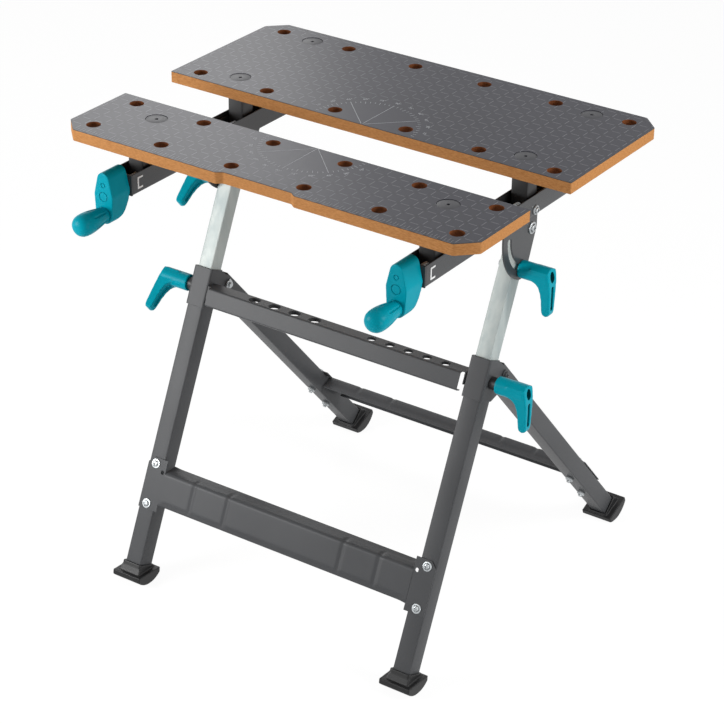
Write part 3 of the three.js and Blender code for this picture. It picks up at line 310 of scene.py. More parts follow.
foot_rubber = finish("foot_rubber", "#131314", "#19191a", 0.45, grain=700, bump=0.15, drift=30, specular=0.3)
sole_radius, sole_drop, sole_flat = 33.8 * MM, 10 * MM, 0.4 * MM
sole_half, sole_width, sole_rim = 24 * MM, 49 * MM, 7.5 * MM
sole_centre = sole_radius - sole_drop
sole_cuts = [((0, 0, sole_rim), (0, 0, 1)), ((0, sole_half, 0), (0, 1, 0)), ((0, -sole_half, 0), (0, -1, 0))]
for end, body, cant in (("front", "front_frame", radians(-3.8)), ("rear", "rear_frame", radians(22))):
    for hand, side in sides:
        node = f"{end}_foot_{hand}"
        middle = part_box(node)[1].y - sole_half * cos(cant)
        rise = sole_radius - sole_centre * cos(cant) - sole_flat
        place = at((side * leg_spread, middle, rise), cant, "X")
        rocker = placed(bar(sole_radius, sole_width, 96, at((0, 0, sole_centre), pi / 2, "Y")), place)
        for point, away in sole_cuts:
            sliced(rocker, place @ Vector(point), place.to_3x3() @ Vector(away))
        sliced(rocker, (0, 0, 0), (0, 0, -1))
        face_outwards(rocker)
        shoe = melted(joined(eased_copy(node, 0.4 * MM), rocker), voxel=0.8 * MM, rounds=6)
        add_piece(f"{end}_shoe_{hand}", shoe, foot_rubber, body, "black_plastic", node)

# Stretchers: pressed sheet-steel treads with a rolled top flange and a bottom lip, powder-coated.
# Five soft pads are embossed in each, and end plates lie on the legs, with a notch at the bend.
tread_sheet, tread_roll, tread_turn = 1.6 * MM, 5.5 * MM, 3.5 * MM
tread_face, tread_flange, tread_lip = 50 * MM, 23 * MM, 12 * MM
tread_overlap = 5 * MM
roll_share = 0.65
flange_turn = pi / 2 - leg_lean
tread_runs = [
    (tread_lip - tread_turn, 0), (tread_turn * pi / 2, -pi / 2),
    (tread_face - tread_turn - tread_roll * roll_share, 0), (tread_roll * flange_turn, -flange_turn),
    (tread_flange - tread_roll * roll_share, 0),
]
tread_reach = sum(length for length, turn in tread_runs)
pad_ends = [-240 * MM, -159 * MM, -99 * MM, 99 * MM, 159 * MM, 240 * MM]
pad_gap, pad_slope, pad_height, pad_fade = 0.5 * MM, 4.5 * MM, 1 * MM, 14 * MM
pad_foot, pad_foot_slope = tread_lip + 3 * MM, 6 * MM
pad_head, pad_head_slope = tread_reach - 6 * MM, 8 * MM
plate_height, plate_rise, plate_cut = 77 * MM, 18.5 * MM, 9 * MM
notch_radius, notch_reach = 3 * MM, 8 * MM


def soft_step(value, width):
    """Rises smoothly from nought to one over a width"""
    share = min(max(value / width, 0), 1)
    return share * share * (3 - 2 * share)


def tread_outline(distance, low, front):
    """The place and outward direction on a tread's bent outline, at a distance from its lip's edge"""
    y, z, heading = front + tread_lip, low, pi
    for length, turn in tread_runs:
        part = min(distance, length)
        bend = turn * part / length
        y += part * cos(heading + bend / 2)
        z += part * sin(heading + bend / 2)
        heading += bend
        distance -= part
    return y, z, heading + pi / 2


def tread(half, low, front):
    """A tread's sheet, bent, embossed and thickened inwards"""
    bm = bmesh.new()
    bmesh.ops.create_grid(bm, x_segments=200, y_segments=46, size=0.5)
    for vert in bm.verts:
        x, distance = vert.co.x * 2 * half, (vert.co.y + 0.5) * tread_reach
        y, z, outward = tread_outline(distance, low, front)
        raised = max(
            soft_step(x - left - pad_gap, pad_slope) * soft_step(right - pad_gap - x, pad_slope)
            for left, right in zip(pad_ends, pad_ends[1:])
        )
        raised *= soft_step(distance - pad_foot, pad_foot_slope)
        raised *= soft_step(pad_head - distance, pad_head_slope)
        sunk = (raised - 1) * pad_height * soft_step(half - abs(x), pad_fade)
        vert.co = (x, y + sunk * cos(outward), z + sunk * sin(outward))
    face_outwards(bm)
    bm.normal_update()
    if sum(face.normal.y for face in bm.faces) > 0:
        bmesh.ops.reverse_faces(bm, faces=bm.faces[:])
    bmesh.ops.solidify(bm, geom=bm.faces[:], thickness=tread_sheet)
    return bm


def drawn_out(corners, way):
    """A solid from a flat outline that is drawn out one way"""
    bm = bmesh.new()
    flat = bm.faces.new([bm.verts.new(corner) for corner in corners])
    grown = bmesh.ops.extrude_face_region(bm, geom=[flat])["geom"]
    moved = [item for item in grown if isinstance(item, bmesh.types.BMVert)]
    bmesh.ops.translate(bm, vec=way, verts=moved)
    face_outwards(bm)
    return bm


def end_plate(side, near, far, top, front):
    """The flat plate at a tread's end, on the leg's face, with a cut corner"""
    low = top - plate_height
    outline = [(near, top), (far - plate_cut, top), (far, top - plate_cut), (far, low), (near, low)]
    bm = drawn_out([(side * x, front, z) for x, z in outline], (0, tread_sheet, 0))
    outer = [edge for edge in bm.edges if max(abs(vert.co.x) for vert in edge.verts) > near + MM]
    rounded(bm, outer, 0.3 * MM, segments=2)
    return bm


def turned(profile, steps=32):
    """A piece turned about Z, from pairs of radius and height that close on themselves or on the axis"""
    bm = bmesh.new()
    line = [bm.verts.new((radius, 0, height)) for radius, height in profile]
    for lower, upper in zip(line, line[1:]):
        bm.edges.new((lower, upper))
    bmesh.ops.spin(
        bm, geom=all_of(bm), cent=(0, 0, 0), axis=(0, 0, 1), angle=2 * pi, steps=steps, use_merge=True,
    )
    bmesh.ops.remove_doubles(bm, verts=bm.verts[:], dist=0.005 * MM)
    face_outwards(bm)
    return bm


def rod(radius, bottom, top, steps=32):
    """A plain round rod along Z, for cutting"""
    return turned([(0, bottom), (radius, bottom), (radius, top), (0, top)], steps)


def carved(bm, *cutters):
    """A mesh with the cutters taken out of it"""
    work = on_bench(bm)
    tools = [on_bench(cutter) for cutter in cutters]
    for tool, cutter in zip(tools, cutters):
        cutter.free()
        taking = work.modifiers.new("taking", "BOOLEAN")
        taking.operation = "DIFFERENCE"
        taking.solver = "EXACT"
        taking.object = tool
    return off_bench(bm, work, *tools)


def even_shading(piece):
    """Lets the large faces of a piece rule its shading"""
    weighted = piece.modifiers.new("even_shading", "WEIGHTED_NORMAL")
    weighted.keep_sharp = True


to_rear = along_rear_legs @ Matrix.Rotation(pi, 4, "Z")
for end, body, half, far, top, front, place in (
    ("front", "front_frame", 218.9 * MM, 246.5 * MM, -468 * MM, -16.2 * MM, along_front_legs),
    ("rear", "rear_frame", 219.9 * MM, 245.5 * MM, -357 * MM, -15.65 * MM, to_rear),
):
    bend, inner = top - plate_rise, half - tread_overlap
    plates = []
    for hand, side in sides:
        spot = at((side * half, front, bend), pi / 2, "X")
        notch = placed(rod(notch_radius, -notch_reach, notch_reach, steps=24), spot)
        plates.append(carved(end_plate(side, inner, far, top, front), notch))
    panel = placed(joined(tread(inner, bend - tread_face, front), *plates), place)
    even_shading(add_piece(f"{end}_tread", panel, powder_coat, body, "painted_steel", f"{end}_stretcher"))

# Stretcher screws: zinc-plated pan heads with a flange and a cross recess, and hexagon nuts behind the legs.
# Two stand one above the other on each leg, through the stretcher's end plate.
zinc_plate = finish("zinc_plate", "#9ea2a4", "#b9bdbf", 0.32, grain=500, bump=0.05, drift=60, metallic=0.75)
head_shares = [
    (0.5, 0), (0.5, 0.25), (0.46, 0.4), (0.37, 0.42), (0.33, 0.12), (0.31, 0.12), (0.29, 0.75), (0.25, 0.93),
    (0.18, 1), (0, 1),
]
cross_length_share, cross_width_share = 0.4, 0.1


def box(width, depth, height, place):
    """A plain block about a place, for cutting"""
    bm = bmesh.new()
    bmesh.ops.create_cube(bm, size=1, matrix=place @ Matrix.Diagonal((width, depth, height, 1)))
    return bm


def pan_screw(head, height, shank, length):
    """A pan-head screw along +Z from its seat, with a cross recess and a plain shank below"""
    radius = shank / 2
    bm = turned([
        (0, -length), (radius - 0.5 * MM, -length), (radius, 0.6 * MM - length), (radius, 0),
        *[(head * across, height * up) for across, up in head_shares],
    ])
    slot = {"width": head * cross_length_share, "depth": head * cross_width_share, "height": height}
    middle = at((0, 0, height))
    return carved(bm, box(**slot, place=middle), box(**slot, place=middle @ Matrix.Rotation(pi / 2, 4, "Z")))


def hexagon_nut(across, height, stud):
    """A chamfered hexagon nut along +Z from its seat, with the end of its bolt standing out of it"""
    corner, stud_end, stud_chamfer = across / 2 / cos(pi / 6), height + 3 * MM, 0.6 * MM
    bm = bar(corner, height, 6, at((0, 0, height / 2)))
    rims = [edge for edge in bm.edges if abs(edge.verts[0].co.z - edge.verts[1].co.z) < 1e-7]
    rounded(bm, rims, 0.6 * MM, segments=2)
    end = turned([
        (0, 0), (stud / 2, 0), (stud / 2, stud_end - stud_chamfer), (stud / 2 - stud_chamfer, stud_end),
        (0, stud_end),
    ], steps=20)
    return joined(bm, end)


tread_screw = {"head": 14 * MM, "height": 3.6 * MM, "shank": 6 * MM, "length": 8 * MM}
tread_nut = {"across": 10 * MM, "height": 5 * MM, "stud": 6 * MM}
for end, body, along, facing, head_seat, nut_seat, drops in (
    ("front", "front_frame", along_front_legs, pi / 2, -16.2 * MM, 14.3 * MM, (-477 * MM, -537 * MM)),
    ("rear", "rear_frame", along_rear_legs, -pi / 2, 15.65 * MM, -13.75 * MM, (-366 * MM, -424 * MM)),
):
    for name, shape, seat, turn in (
        ("screws", pan_screw(**tread_screw), head_seat, facing),
        ("nuts", hexagon_nut(**tread_nut), nut_seat, -facing),
    ):
        spots = [(side * leg_spread, seat, drop) for hand, side in sides for drop in drops]
        places = [along @ at(spot, turn, "X") for spot in spots]
        add_piece(f"{end}_tread_{name}", placed(shape, *places), zinc_plate, body, "zinc_steel")

# Collars: sheet steel wrapped round the front of each leg's top, powder-coated.
# Their ears run to the rear and hold the rear leg between them; a bolt with a nut is the pivot.
collar_face = 249.1 * MM
ear_bolt = {
    "head": 15 * MM, "height": 5 * MM, "shank": 8 * MM, "reach": 32.2 * MM,
    "nut_across": 13 * MM, "nut_height": 3.5 * MM,
}


def dress(name, node, radius, material, body, slot):
    """Puts a CAD node's own shape in its place, with rounded edges and a finish"""
    even_shading(add_piece(name, eased_copy(node, radius), material, body, slot, node))


def through_bolt(head, height, shank, reach, nut_across, nut_height):
    """A bolt along Z: its head above zero, its nut at the other end of its reach"""
    far_end = at((0, 0, -reach), pi, "X")
    nut = placed(hexagon_nut(nut_across, nut_height, shank), far_end)
    return joined(pan_screw(head, height, shank, reach), nut)


def facing_out(side, x, centre):
    """A place on one side of the bench, level with a centre, whose Z points outwards"""
    return at((side * x, centre.y, centre.z), side * pi / 2, "Y")


for hand, side in sides:
    dress(f"leg_collar_{hand}", f"collar_{hand}", 0.5 * MM, powder_coat, "front_frame", "painted_steel")
for hand, side in sides:
    bolt = placed(through_bolt(**ear_bolt), facing_out(side, collar_face, rear_pivot))
    for face in bolt.faces:
        face.material_index = 1 if abs(face.calc_center_median().x) > collar_face - 0.1 * MM else 0
    node = f"rear_pivot_bolt_{hand}"
    add_piece(f"ear_bolt_{hand}", bolt, [zinc_plate, powder_coat], "front_frame", "zinc_steel", node)

# Crossbar: a bent steel strip between the collars, with tool holes in its level flange, powder-coated.
# The holes are drawn down into lips, and short screws through the end tabs hold the bar to the collars.
dress("tool_bar", "crossbar", 0.35 * MM, powder_coat, "front_frame", "painted_steel")
flange_tilt = leg_lean - radians(6)
flange_root, hole_reach, flange_under = Vector((0, -23 * MM, -210 * MM)), 11 * MM, -0.8 * MM
hole_line = flange_root + hole_reach * Vector((0, cos(flange_tilt), sin(flange_tilt)))
small_hole, small_drop, small_columns = 6.75 * MM, 3.5 * MM, [(181.8 - 30.2 * step) * MM for step in range(5)]
large_hole, large_drop, large_columns = 9 * MM, 5 * MM, [(34.6 * step - 138) * MM for step in range(4)]
lip_wall = 1.1 * MM
bar_screw = {"head": 10 * MM, "height": 3 * MM, "shank": 5 * MM, "length": 1.5 * MM}
bar_tab = Vector((215.3 * MM, -9.5 * MM, -214 * MM))


def ring(inner, outer, bottom, top, steps=32):
    """A ring of square section about Z"""
    return turned([(inner, bottom), (outer, bottom), (outer, top), (inner, top), (inner, bottom)], steps)


lips = []
tool_rows = ((small_hole, small_drop, small_columns), (large_hole, large_drop, large_columns))
for radius, drop, columns in tool_rows:
    lip = ring(radius, radius + lip_wall, flange_under - drop, flange_under, steps=36)
    lips.append(placed(lip, *[at((x, 0, 0)) for x in columns]))
flange = along_front_legs @ at(hole_line, flange_tilt, "X")
add_piece("tool_hole_lips", placed(joined(*lips), flange), powder_coat, "front_frame", "painted_steel")
tabs = [
    along_front_legs @ at((side * bar_tab.x, bar_tab.y, bar_tab.z), -side * pi / 2, "Y")
    for hand, side in sides
]
add_piece("tool_bar_screws", placed(pan_screw(**bar_screw), *tabs), zinc_plate, "front_frame", "zinc_steel")

# Inner tubes: galvanised steel tubes that slide in the front legs and carry the table on their tops.
# The zinc is pale and cool, with soft spangles drawn out along the tube.
galvanised = finish(
    "galvanised", "#959f9f", "#b2b8b5", 0.45, grain=260, bump=0.06, drift=70, metallic=0.12, specular=0.2,
    stretch=(1, 1, 0.1), lean=leg_lean,
)
inner_tube = {
    "width": 23.4 * MM, "depth": 25 * MM, "wall": 1.3 * MM, "corner": 1.8 * MM,
    "bottom": -384 * MM, "top": 10 * MM,
}
add_tubes(
    "sliding_tube", "inner_tube", inner_tube, along_front_legs, galvanised, "inner_tubes", "galvanised_steel",
)

# Height clamps: a bolt through the collar and leg presses on the inner tube, under a black spacer.
# Its lever turns on the outer end.
black_nylon = finish("black_nylon", "#202021", "#29292a", 0.45, grain=600, bump=0.2, drift=40, specular=0.4)
height_clamp = Vector(joints["height_lever_turn_right"]["pos_m"])
spacer_bore, spacer_radius, spacer_length, spacer_chamfer = 4.4 * MM, 9 * MM, 10 * MM, 0.6 * MM
for hand, side in sides:
    spacer = turned([
        (spacer_bore, 0), (spacer_radius - spacer_chamfer, 0), (spacer_radius, spacer_chamfer),
        (spacer_radius, spacer_length - spacer_chamfer), (spacer_radius - spacer_chamfer, spacer_length),
        (spacer_bore, spacer_length), (spacer_bore, 0),
    ], steps=40)
    spacer = placed(spacer, facing_out(side, collar_face, height_clamp))
    node = f"height_spacer_{hand}"
    add_piece(f"clamp_spacer_{hand}", spacer, black_nylon, "front_frame", "black_plastic", node)
    frame["nodes"][f"height_clamp_bolt_{hand}"].material_slots[0].material = zinc_plate

# Beams: open-topped steel channels, powder-coated, that carry both jaws and the spindles.
# Plates on their front ends are the spindles' bearings; nylon blocks stand in them under the jaws.
beam_coat = finish("beam_coat", "#343537", "#3a3b3d", 0.3, grain=1300, bump=0.06, drift=9, specular=0.36)
for hand, side in sides:
    dress(f"jaw_beam_{hand}", f"beam_{hand}", 0.35 * MM, beam_coat, "table", "painted_steel")
    dress(f"spindle_plate_{hand}", f"front_bearing_{hand}", 0.5 * MM, beam_coat, "table", "painted_steel")
    for name, node, body in (
        ("jaw_carrier", "spindle_nut", "front_jaw"),
        ("rear_jaw_block_front", "rear_jaw_post_front", "table"),
        ("rear_jaw_block_rear", "rear_jaw_post_rear", "table"),
    ):
        dress(f"{name}_{hand}", f"{node}_{hand}", 0.6 * MM, black_nylon, body, "black_plastic")

# Beam clips: C-shaped clips over the slots near the beams' front ends, on both walls, in a near-white zinc.
# They are bent from thin zinc-plated sheet and hold the bearing plates' inner tongues; their near-white
# colour is painted light, the white seen through the slots.
# A near-white zinc: painted light, standing in for the white seen through the beams' slots.
painted_light_zinc = finish(
    "painted_light_zinc", "#d4d6d6", "#e2e4e4", 0.4, grain=500, bump=0.05, drift=60, metallic=0.1, specular=0.4,
)
clip_setback, clip_drop, clip_reach, clip_height = 9.6 * MM, 15 * MM, 11 * MM, 17 * MM
clip_width, clip_sheet, beam_half = 2.4 * MM, 0.4 * MM, 18.2 * MM
for hand, side in sides:
    low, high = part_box(f"beam_{hand}")
    start, end = low.y + clip_setback, low.y + clip_setback + clip_reach
    bottom, top = high.z - clip_drop - clip_height / 2, high.z - clip_drop + clip_height / 2
    outline = [
        (start, bottom), (end, bottom), (end, bottom + clip_width), (start + clip_width, bottom + clip_width),
        (start + clip_width, top - clip_width), (end, top - clip_width), (end, top), (start, top),
    ]
    clips = []
    for wall in (-beam_half, beam_half):
        inside = side * leg_spread + wall - clip_sheet / 2
        clips.append(drawn_out([(inside, y, z) for y, z in outline], (clip_sheet, 0, 0)))
    add_piece(f"beam_clips_{hand}", joined(*clips), painted_light_zinc, "table", "zinc_steel")

# Tilt sectors: stamped steel plates in the beams, with an arc slot for the clamp bolt, powder-coated.
# A pivot bolt through the tube's head and a screw into the beam hold each.
sector_face, sector_screw_seat = 249.4 * MM, 251.3 * MM
tilt_bolt = {
    "head": 17 * MM, "height": 4.6 * MM, "shank": 8 * MM, "reach": 34.7 * MM,
    "nut_across": 13 * MM, "nut_height": 3.5 * MM,
}
sector_screw = {"head": 13.5 * MM, "height": 4.4 * MM, "shank": 6 * MM, "length": 4.8 * MM}
for hand, side in sides:
    dress(f"tilt_sector_{hand}", f"tilt_plate_{hand}", 0.5 * MM, beam_coat, "table", "painted_steel")
for hand, side in sides:
    bolt = placed(through_bolt(**tilt_bolt), facing_out(side, sector_face, tilt_pivot))
    add_piece(f"tilt_bolt_{hand}", bolt, zinc_plate, "inner_tubes", "zinc_steel", f"tilt_pivot_bolt_{hand}")
    low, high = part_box(f"plate_screw_{hand}")
    screw = placed(pan_screw(**sector_screw), facing_out(side, sector_screw_seat, (low + high) / 2))
    add_piece(f"sector_screw_{hand}", screw, zinc_plate, "table", "zinc_steel", f"plate_screw_{hand}")
    frame["nodes"][f"tilt_clamp_bolt_{hand}"].material_slots[0].material = zinc_plate

# Spindles: zinc-plated threaded rods inside the beams, with a collar behind each bearing plate.
# They turn with the cranks and draw the front jaw along.
thread_crest, thread_depth, thread_pitch, thread_setback = 5 * MM, 0.9 * MM, 4 * MM, 5 * MM
thread_root = thread_crest - thread_depth
ridge_foot = thread_root - 0.3 * MM
thread_ridge = [(ridge_foot, 0), (thread_crest, 1.2 * MM), (thread_crest, 2 * MM), (ridge_foot, 3.2 * MM)]
thread_steps = 14
stop_radius, stop_length = 8.5 * MM, 4 * MM
hand_words = {"R": "right", "L": "left"}
for hand, side in sides:
    low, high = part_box(f"spindle_{hand}")
    plate_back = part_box(f"beam_{hand}")[0].y
    stop_back = plate_back + stop_length
    start = plate_back + thread_setback
    turns = int((high.y - thread_pitch - start) / thread_pitch)
    spindle = bmesh.new()
    spindle.faces.new([spindle.verts.new((radius, height, 0)) for radius, height in thread_ridge])
    bmesh.ops.spin(
        spindle, geom=all_of(spindle), cent=(0, 0, 0), axis=(0, 1, 0), angle=2 * pi * turns,
        steps=thread_steps * turns, dvec=(0, thread_pitch / thread_steps, 0), use_merge=False,
    )
    face_outwards(spindle)
    bmesh.ops.translate(spindle, vec=(0, start, 0), verts=spindle.verts[:])
    core = turned([
        (0, low.y), (thread_crest, low.y), (thread_crest, plate_back), (stop_radius, plate_back),
        (stop_radius, stop_back), (thread_root, stop_back), (thread_root, high.y), (0, high.y),
    ])
    joined(spindle, placed(core, Matrix.Rotation(-pi / 2, 4, "X")))
    bmesh.ops.translate(spindle, vec=(side * leg_spread, 0, (low.z + high.z) / 2), verts=spindle.verts[:])
    body = f"crank_{hand_words[hand]}"
    add_piece(f"threaded_spindle_{hand}", spindle, zinc_plate, body, "zinc_steel", f"spindle_{hand}")

# Jaw boards: 16.5 mm fibreboard under a thin dark laminate, printed with a pale net of broken lines.
# Edges and bored dog holes are bare fibreboard, the holes' walls a darker copy as painted shade; the front
# jaw slides, the rear jaw is fixed.
jaws = (("front", -1, "front_jaw"), ("rear", 1, "table"))
jaw_edges = {"front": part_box("front_jaw_board")[1].y, "rear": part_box("rear_jaw_board")[0].y}
jaw_middle = (jaw_edges["front"] + jaw_edges["rear"]) / 2
jaw_half_gap = (jaw_edges["rear"] - jaw_edges["front"]) / 2
board_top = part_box("rear_jaw_board")[1].z
board_half, corner_cut, corner_radius, rim_chamfer = 325 * MM, 25 * MM, 1.5 * MM, 0.3 * MM
grip_half, grip_foot, grip_depth = 62 * MM, 54 * MM, 6.3 * MM
laminate_depth = 0.8 * MM
dial_radius, dial_margin = 80 * MM, 12 * MM
dog_radius, dog_inner_row, dog_outer_row = 10 * MM, 20.8 * MM, 28.5 * MM
dog_columns = [(column - 2.5) * 115.2 * MM for column in range(6)]
cap_seats = {"front": [-46.7 * MM], "rear": [40.2 * MM, 214.8 * MM]}
seat_bore, seat_radius, seat_floor, seat_top = 4.3 * MM, 15.3 * MM, 13.2 * MM, 18 * MM
net_pitch, net_line, net_slash, net_gap = 20 * MM, 0.027, 0.0594, 0.2


def calculator(tree):
    """Gives a function that adds sums to a node tree"""
    def calc(operation, *values):
        node = tree.nodes.new("ShaderNodeMath")
        node.operation = operation
        for socket, value in zip(node.inputs, values):
            if isinstance(value, (int, float)):
                socket.default_value = value
            else:
                tree.links.new(value, socket)
        return node.outputs[0]
    return calc


laminate = finish(
    "printed_laminate", "#36363f", "#3b3b45", 0.33, grain=1500, bump=0.06, drift=6, specular=0.19,
)
nodes, links = laminate.node_tree.nodes, laminate.node_tree.links
calc = calculator(laminate.node_tree)


def line_at(distance, width):
    """One on a line's middle, falling to nought at its soft edge"""
    share = calc("SUBTRACT", 1, calc("DIVIDE", distance, width))
    return calc("MULTIPLY", calc("MINIMUM", calc("MAXIMUM", share, 0), 0.5), 2)


def inked_over(under, share, code):
    """A colour printed over another by a share"""
    mix = nodes.new("ShaderNodeMix")
    mix.data_type = "RGBA"
    mix.inputs["B"].default_value = paint(code)
    links.new(share, mix.inputs["Factor"])
    links.new(under, mix.inputs["A"])
    return mix.outputs["Result"]


spot = nodes["Texture Coordinate"].outputs["Object"]
where = nodes.new("ShaderNodeSeparateXYZ")
links.new(spot, where.inputs["Vector"])
off_middle = calc("SUBTRACT", where.outputs["Y"], jaw_middle)
from_jaw = calc("SUBTRACT", calc("ABSOLUTE", off_middle), jaw_half_gap)
u = calc("MULTIPLY", calc("DIVIDE", where.outputs["X"], net_pitch), calc("SIGN", off_middle))
v = calc("DIVIDE", from_jaw, net_pitch)
u, v = calc("SUBTRACT", u, calc("ROUND", u)), calc("SUBTRACT", v, calc("ROUND", v))
beside, ahead = calc("ABSOLUTE", u), calc("ABSOLUTE", v)
upright = calc("ADD", beside, calc("LESS_THAN", ahead, net_gap))
level = calc("ADD", ahead, calc("LESS_THAN", beside, net_gap))
slash = calc("ADD", calc("ABSOLUTE", calc("ADD", u, v)), calc("GREATER_THAN", beside, net_gap))
reach = calc("SQRT", calc("ADD", calc("POWER", where.outputs["X"], 2), calc("POWER", from_jaw, 2)))
off_dial = calc("GREATER_THAN", reach, dial_radius + dial_margin)
line_share = calc("MULTIPLY", line_at(calc("MINIMUM", upright, level), net_line), off_dial)
slash_share = calc("MULTIPLY", line_at(slash, net_slash), off_dial)
worn = add_node(nodes, "TexNoise", {"Scale": 25})
links.new(spot, worn.inputs["Vector"])
line_share = calc("MULTIPLY", line_share, calc("ADD", calc("MULTIPLY", worn.outputs["Fac"], 0.5), 0.55))
base_colour = nodes["Principled BSDF"].inputs["Base Color"]
slashed = inked_over(base_colour.links[0].from_socket, slash_share, "#35353a")
links.new(inked_over(slashed, line_share, "#8b8c92"), base_colour)

fibreboard = finish(
    "fibreboard", "#9d693b", "#b7824f", 0.75, grain=1500, bump=0.6, drift=600, specular=0.1,
    stretch=(0.4, 0.4, 1.4),
)
# A darker copy of the fibreboard for the dog holes' walls: painted shade in the holes.
shaded_bore_fibreboard = finish(
    "shaded_bore_fibreboard", "#5c2f12", "#7a4520", 0.7, grain=900, bump=0.5, drift=120, specular=0.2,
)
board_finishes = [laminate, fibreboard, shaded_bore_fibreboard, black_nylon]
on_laminate, on_edge, on_shaded_bore, on_rim = range(4)


def within(point, spots, reach):
    """Whether a point lies within reach of one of some upright axes"""
    return any((point.x - x) ** 2 + (point.y - y) ** 2 < reach ** 2 for x, y in spots)


for jaw, outwards, body in jaws:
    node = f"{jaw}_jaw_board"
    low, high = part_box(node)
    edge, width = jaw_edges[jaw], high.y - low.y
    outline = [
        (-board_half, 0), (board_half, 0), (board_half, width - corner_cut), (board_half - corner_cut, width),
    ]
    if jaw == "front":
        grip = width - grip_depth
        outline += [(grip_half, width), (grip_foot, grip), (-grip_foot, grip), (-grip_half, width)]
    outline += [(corner_cut - board_half, width), (-board_half, width - corner_cut)]
    board = drawn_out([(x, edge + outwards * y, low.z) for x, y in outline], (0, 0, high.z - low.z))
    uprights = [e for e in board.edges if abs(e.verts[0].co.z - e.verts[1].co.z) > MM]
    rounded(board, uprights, corner_radius, segments=3)
    rims = [e for e in board.edges if abs(e.verts[0].co.z - e.verts[1].co.z) < 1e-6]
    rounded(board, rims, rim_chamfer, segments=1)
    seam = (0, 0, high.z - laminate_depth)
    bmesh.ops.bisect_plane(board, geom=all_of(board), plane_co=seam, plane_no=(0, 0, 1))
    rows = [edge + outwards * dog_inner_row, edge + outwards * (width - dog_outer_row)]
    dog_spots = [(x, y) for x in dog_columns for y in rows]
    dog = rod(dog_radius, -MM, 20 * MM, steps=40)
    dogs = placed(dog, *[at((x, y, low.z)) for x, y in dog_spots])
    seat = turned([
        (0, -MM), (seat_bore, -MM), (seat_bore, seat_floor), (seat_radius, seat_floor),
        (seat_radius, seat_top), (0, seat_top),
    ], steps=48)
    cap_spots = [(side * leg_spread, edge + inset) for hand, side in sides for inset in cap_seats[jaw]]
    seats = placed(seat, *[at((x, y, low.z)) for x, y in cap_spots])
    carved(board, dogs, seats)
    board.normal_update()
    for face in board.faces:
        middle = face.calc_center_median()
        on_top = middle.z > high.z - laminate_depth - 0.1 * MM
        in_dog = within(middle, dog_spots, dog_radius + 0.5 * MM)
        in_seat = within(middle, cap_spots, seat_radius + 0.2 * MM)
        # Dog-hole walls take the darker fibreboard: painted shade.
        if in_dog and abs(face.normal.z) < 0.5:
            face.material_index = on_shaded_bore
        elif on_top and face.normal.z < 0.95 and not in_dog and not in_seat:
            face.material_index = on_rim
        else:
            face.material_index = on_laminate if on_top or in_seat else on_edge
    add_piece(f"{jaw}_jaw", board, board_finishes, body, "board", node, smooth=30)

# Jaw print: a protractor dial about the middle of each jaw edge and a rule along the front edge.
# It is pale ink under the laminate's surface, here a film a few hundredths of a millimetre thick. The rule is
# the same ink given a darker colour, as painted shade.
pale_ink = finish("pale_ink", "#b4b6ba", "#c6c8cc", 0.5, grain=700, bump=0.05, drift=90, specular=0.3)
# The same ink, darker, for the rule: painted shade.
shaded_rule_ink = finish("shaded_rule_ink", "#84858a", "#909196", 0.4, grain=1500, bump=0.1, drift=90, specular=0.22)
film_top, film_depth = board_top + 0.06 * MM, 0.05 * MM
ray_line, dial_line, rule_line = 0.7 * MM, 0.6 * MM, 0.5 * MM
dial_hub, dial_long_tick, dial_short_tick = 3 * MM, 7 * MM, 4.5 * MM
figure_height, figure_gap = 6.5 * MM, 9 * MM
rule_pitch, rule_inset, rule_long_tick, rule_short_tick = 5 * MM, 3 * MM, 9 * MM, 6 * MM
rule_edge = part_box("front_jaw_board")[0].y + rule_inset
rule_ticks = [tick for tick in range(-59, 60) if abs(tick) > 12]


def stroke(bm, start, end, width):
    """A straight printed line on the jaws' tops"""
    along = (Vector(end) - Vector(start)).normalized() * width / 2
    across = Vector((-along.y, along.x))
    corners = [Vector(start) - across, Vector(end) - across, Vector(end) + across, Vector(start) + across]
    bm.faces.new([bm.verts.new((x, y, film_top)) for x, y in corners])


def figure(bm, text, place):
    """A printed number, made a mesh and laid on the jaws' tops"""
    curve = bpy.data.curves.new("figure", "FONT")
    curve.body = text
    curve.size = figure_height
    curve.align_x = "CENTER"
    curve.align_y = "CENTER"
    lettering = bpy.data.objects.new("figure", curve)
    bpy.context.scene.collection.objects.link(lettering)
    shape = lettering.evaluated_get(bpy.context.evaluated_depsgraph_get())
    mesh = bpy.data.meshes.new_from_object(shape)
    mesh.transform(place)
    bm.from_mesh(mesh)
    bpy.data.objects.remove(lettering)
    bpy.data.curves.remove(curve)
    bpy.data.meshes.remove(mesh)


def on_dial(edge, outwards, angle, radius):
    """A point on a jaw's dial"""
    return radius * cos(radians(angle)), edge + outwards * radius * sin(radians(angle))


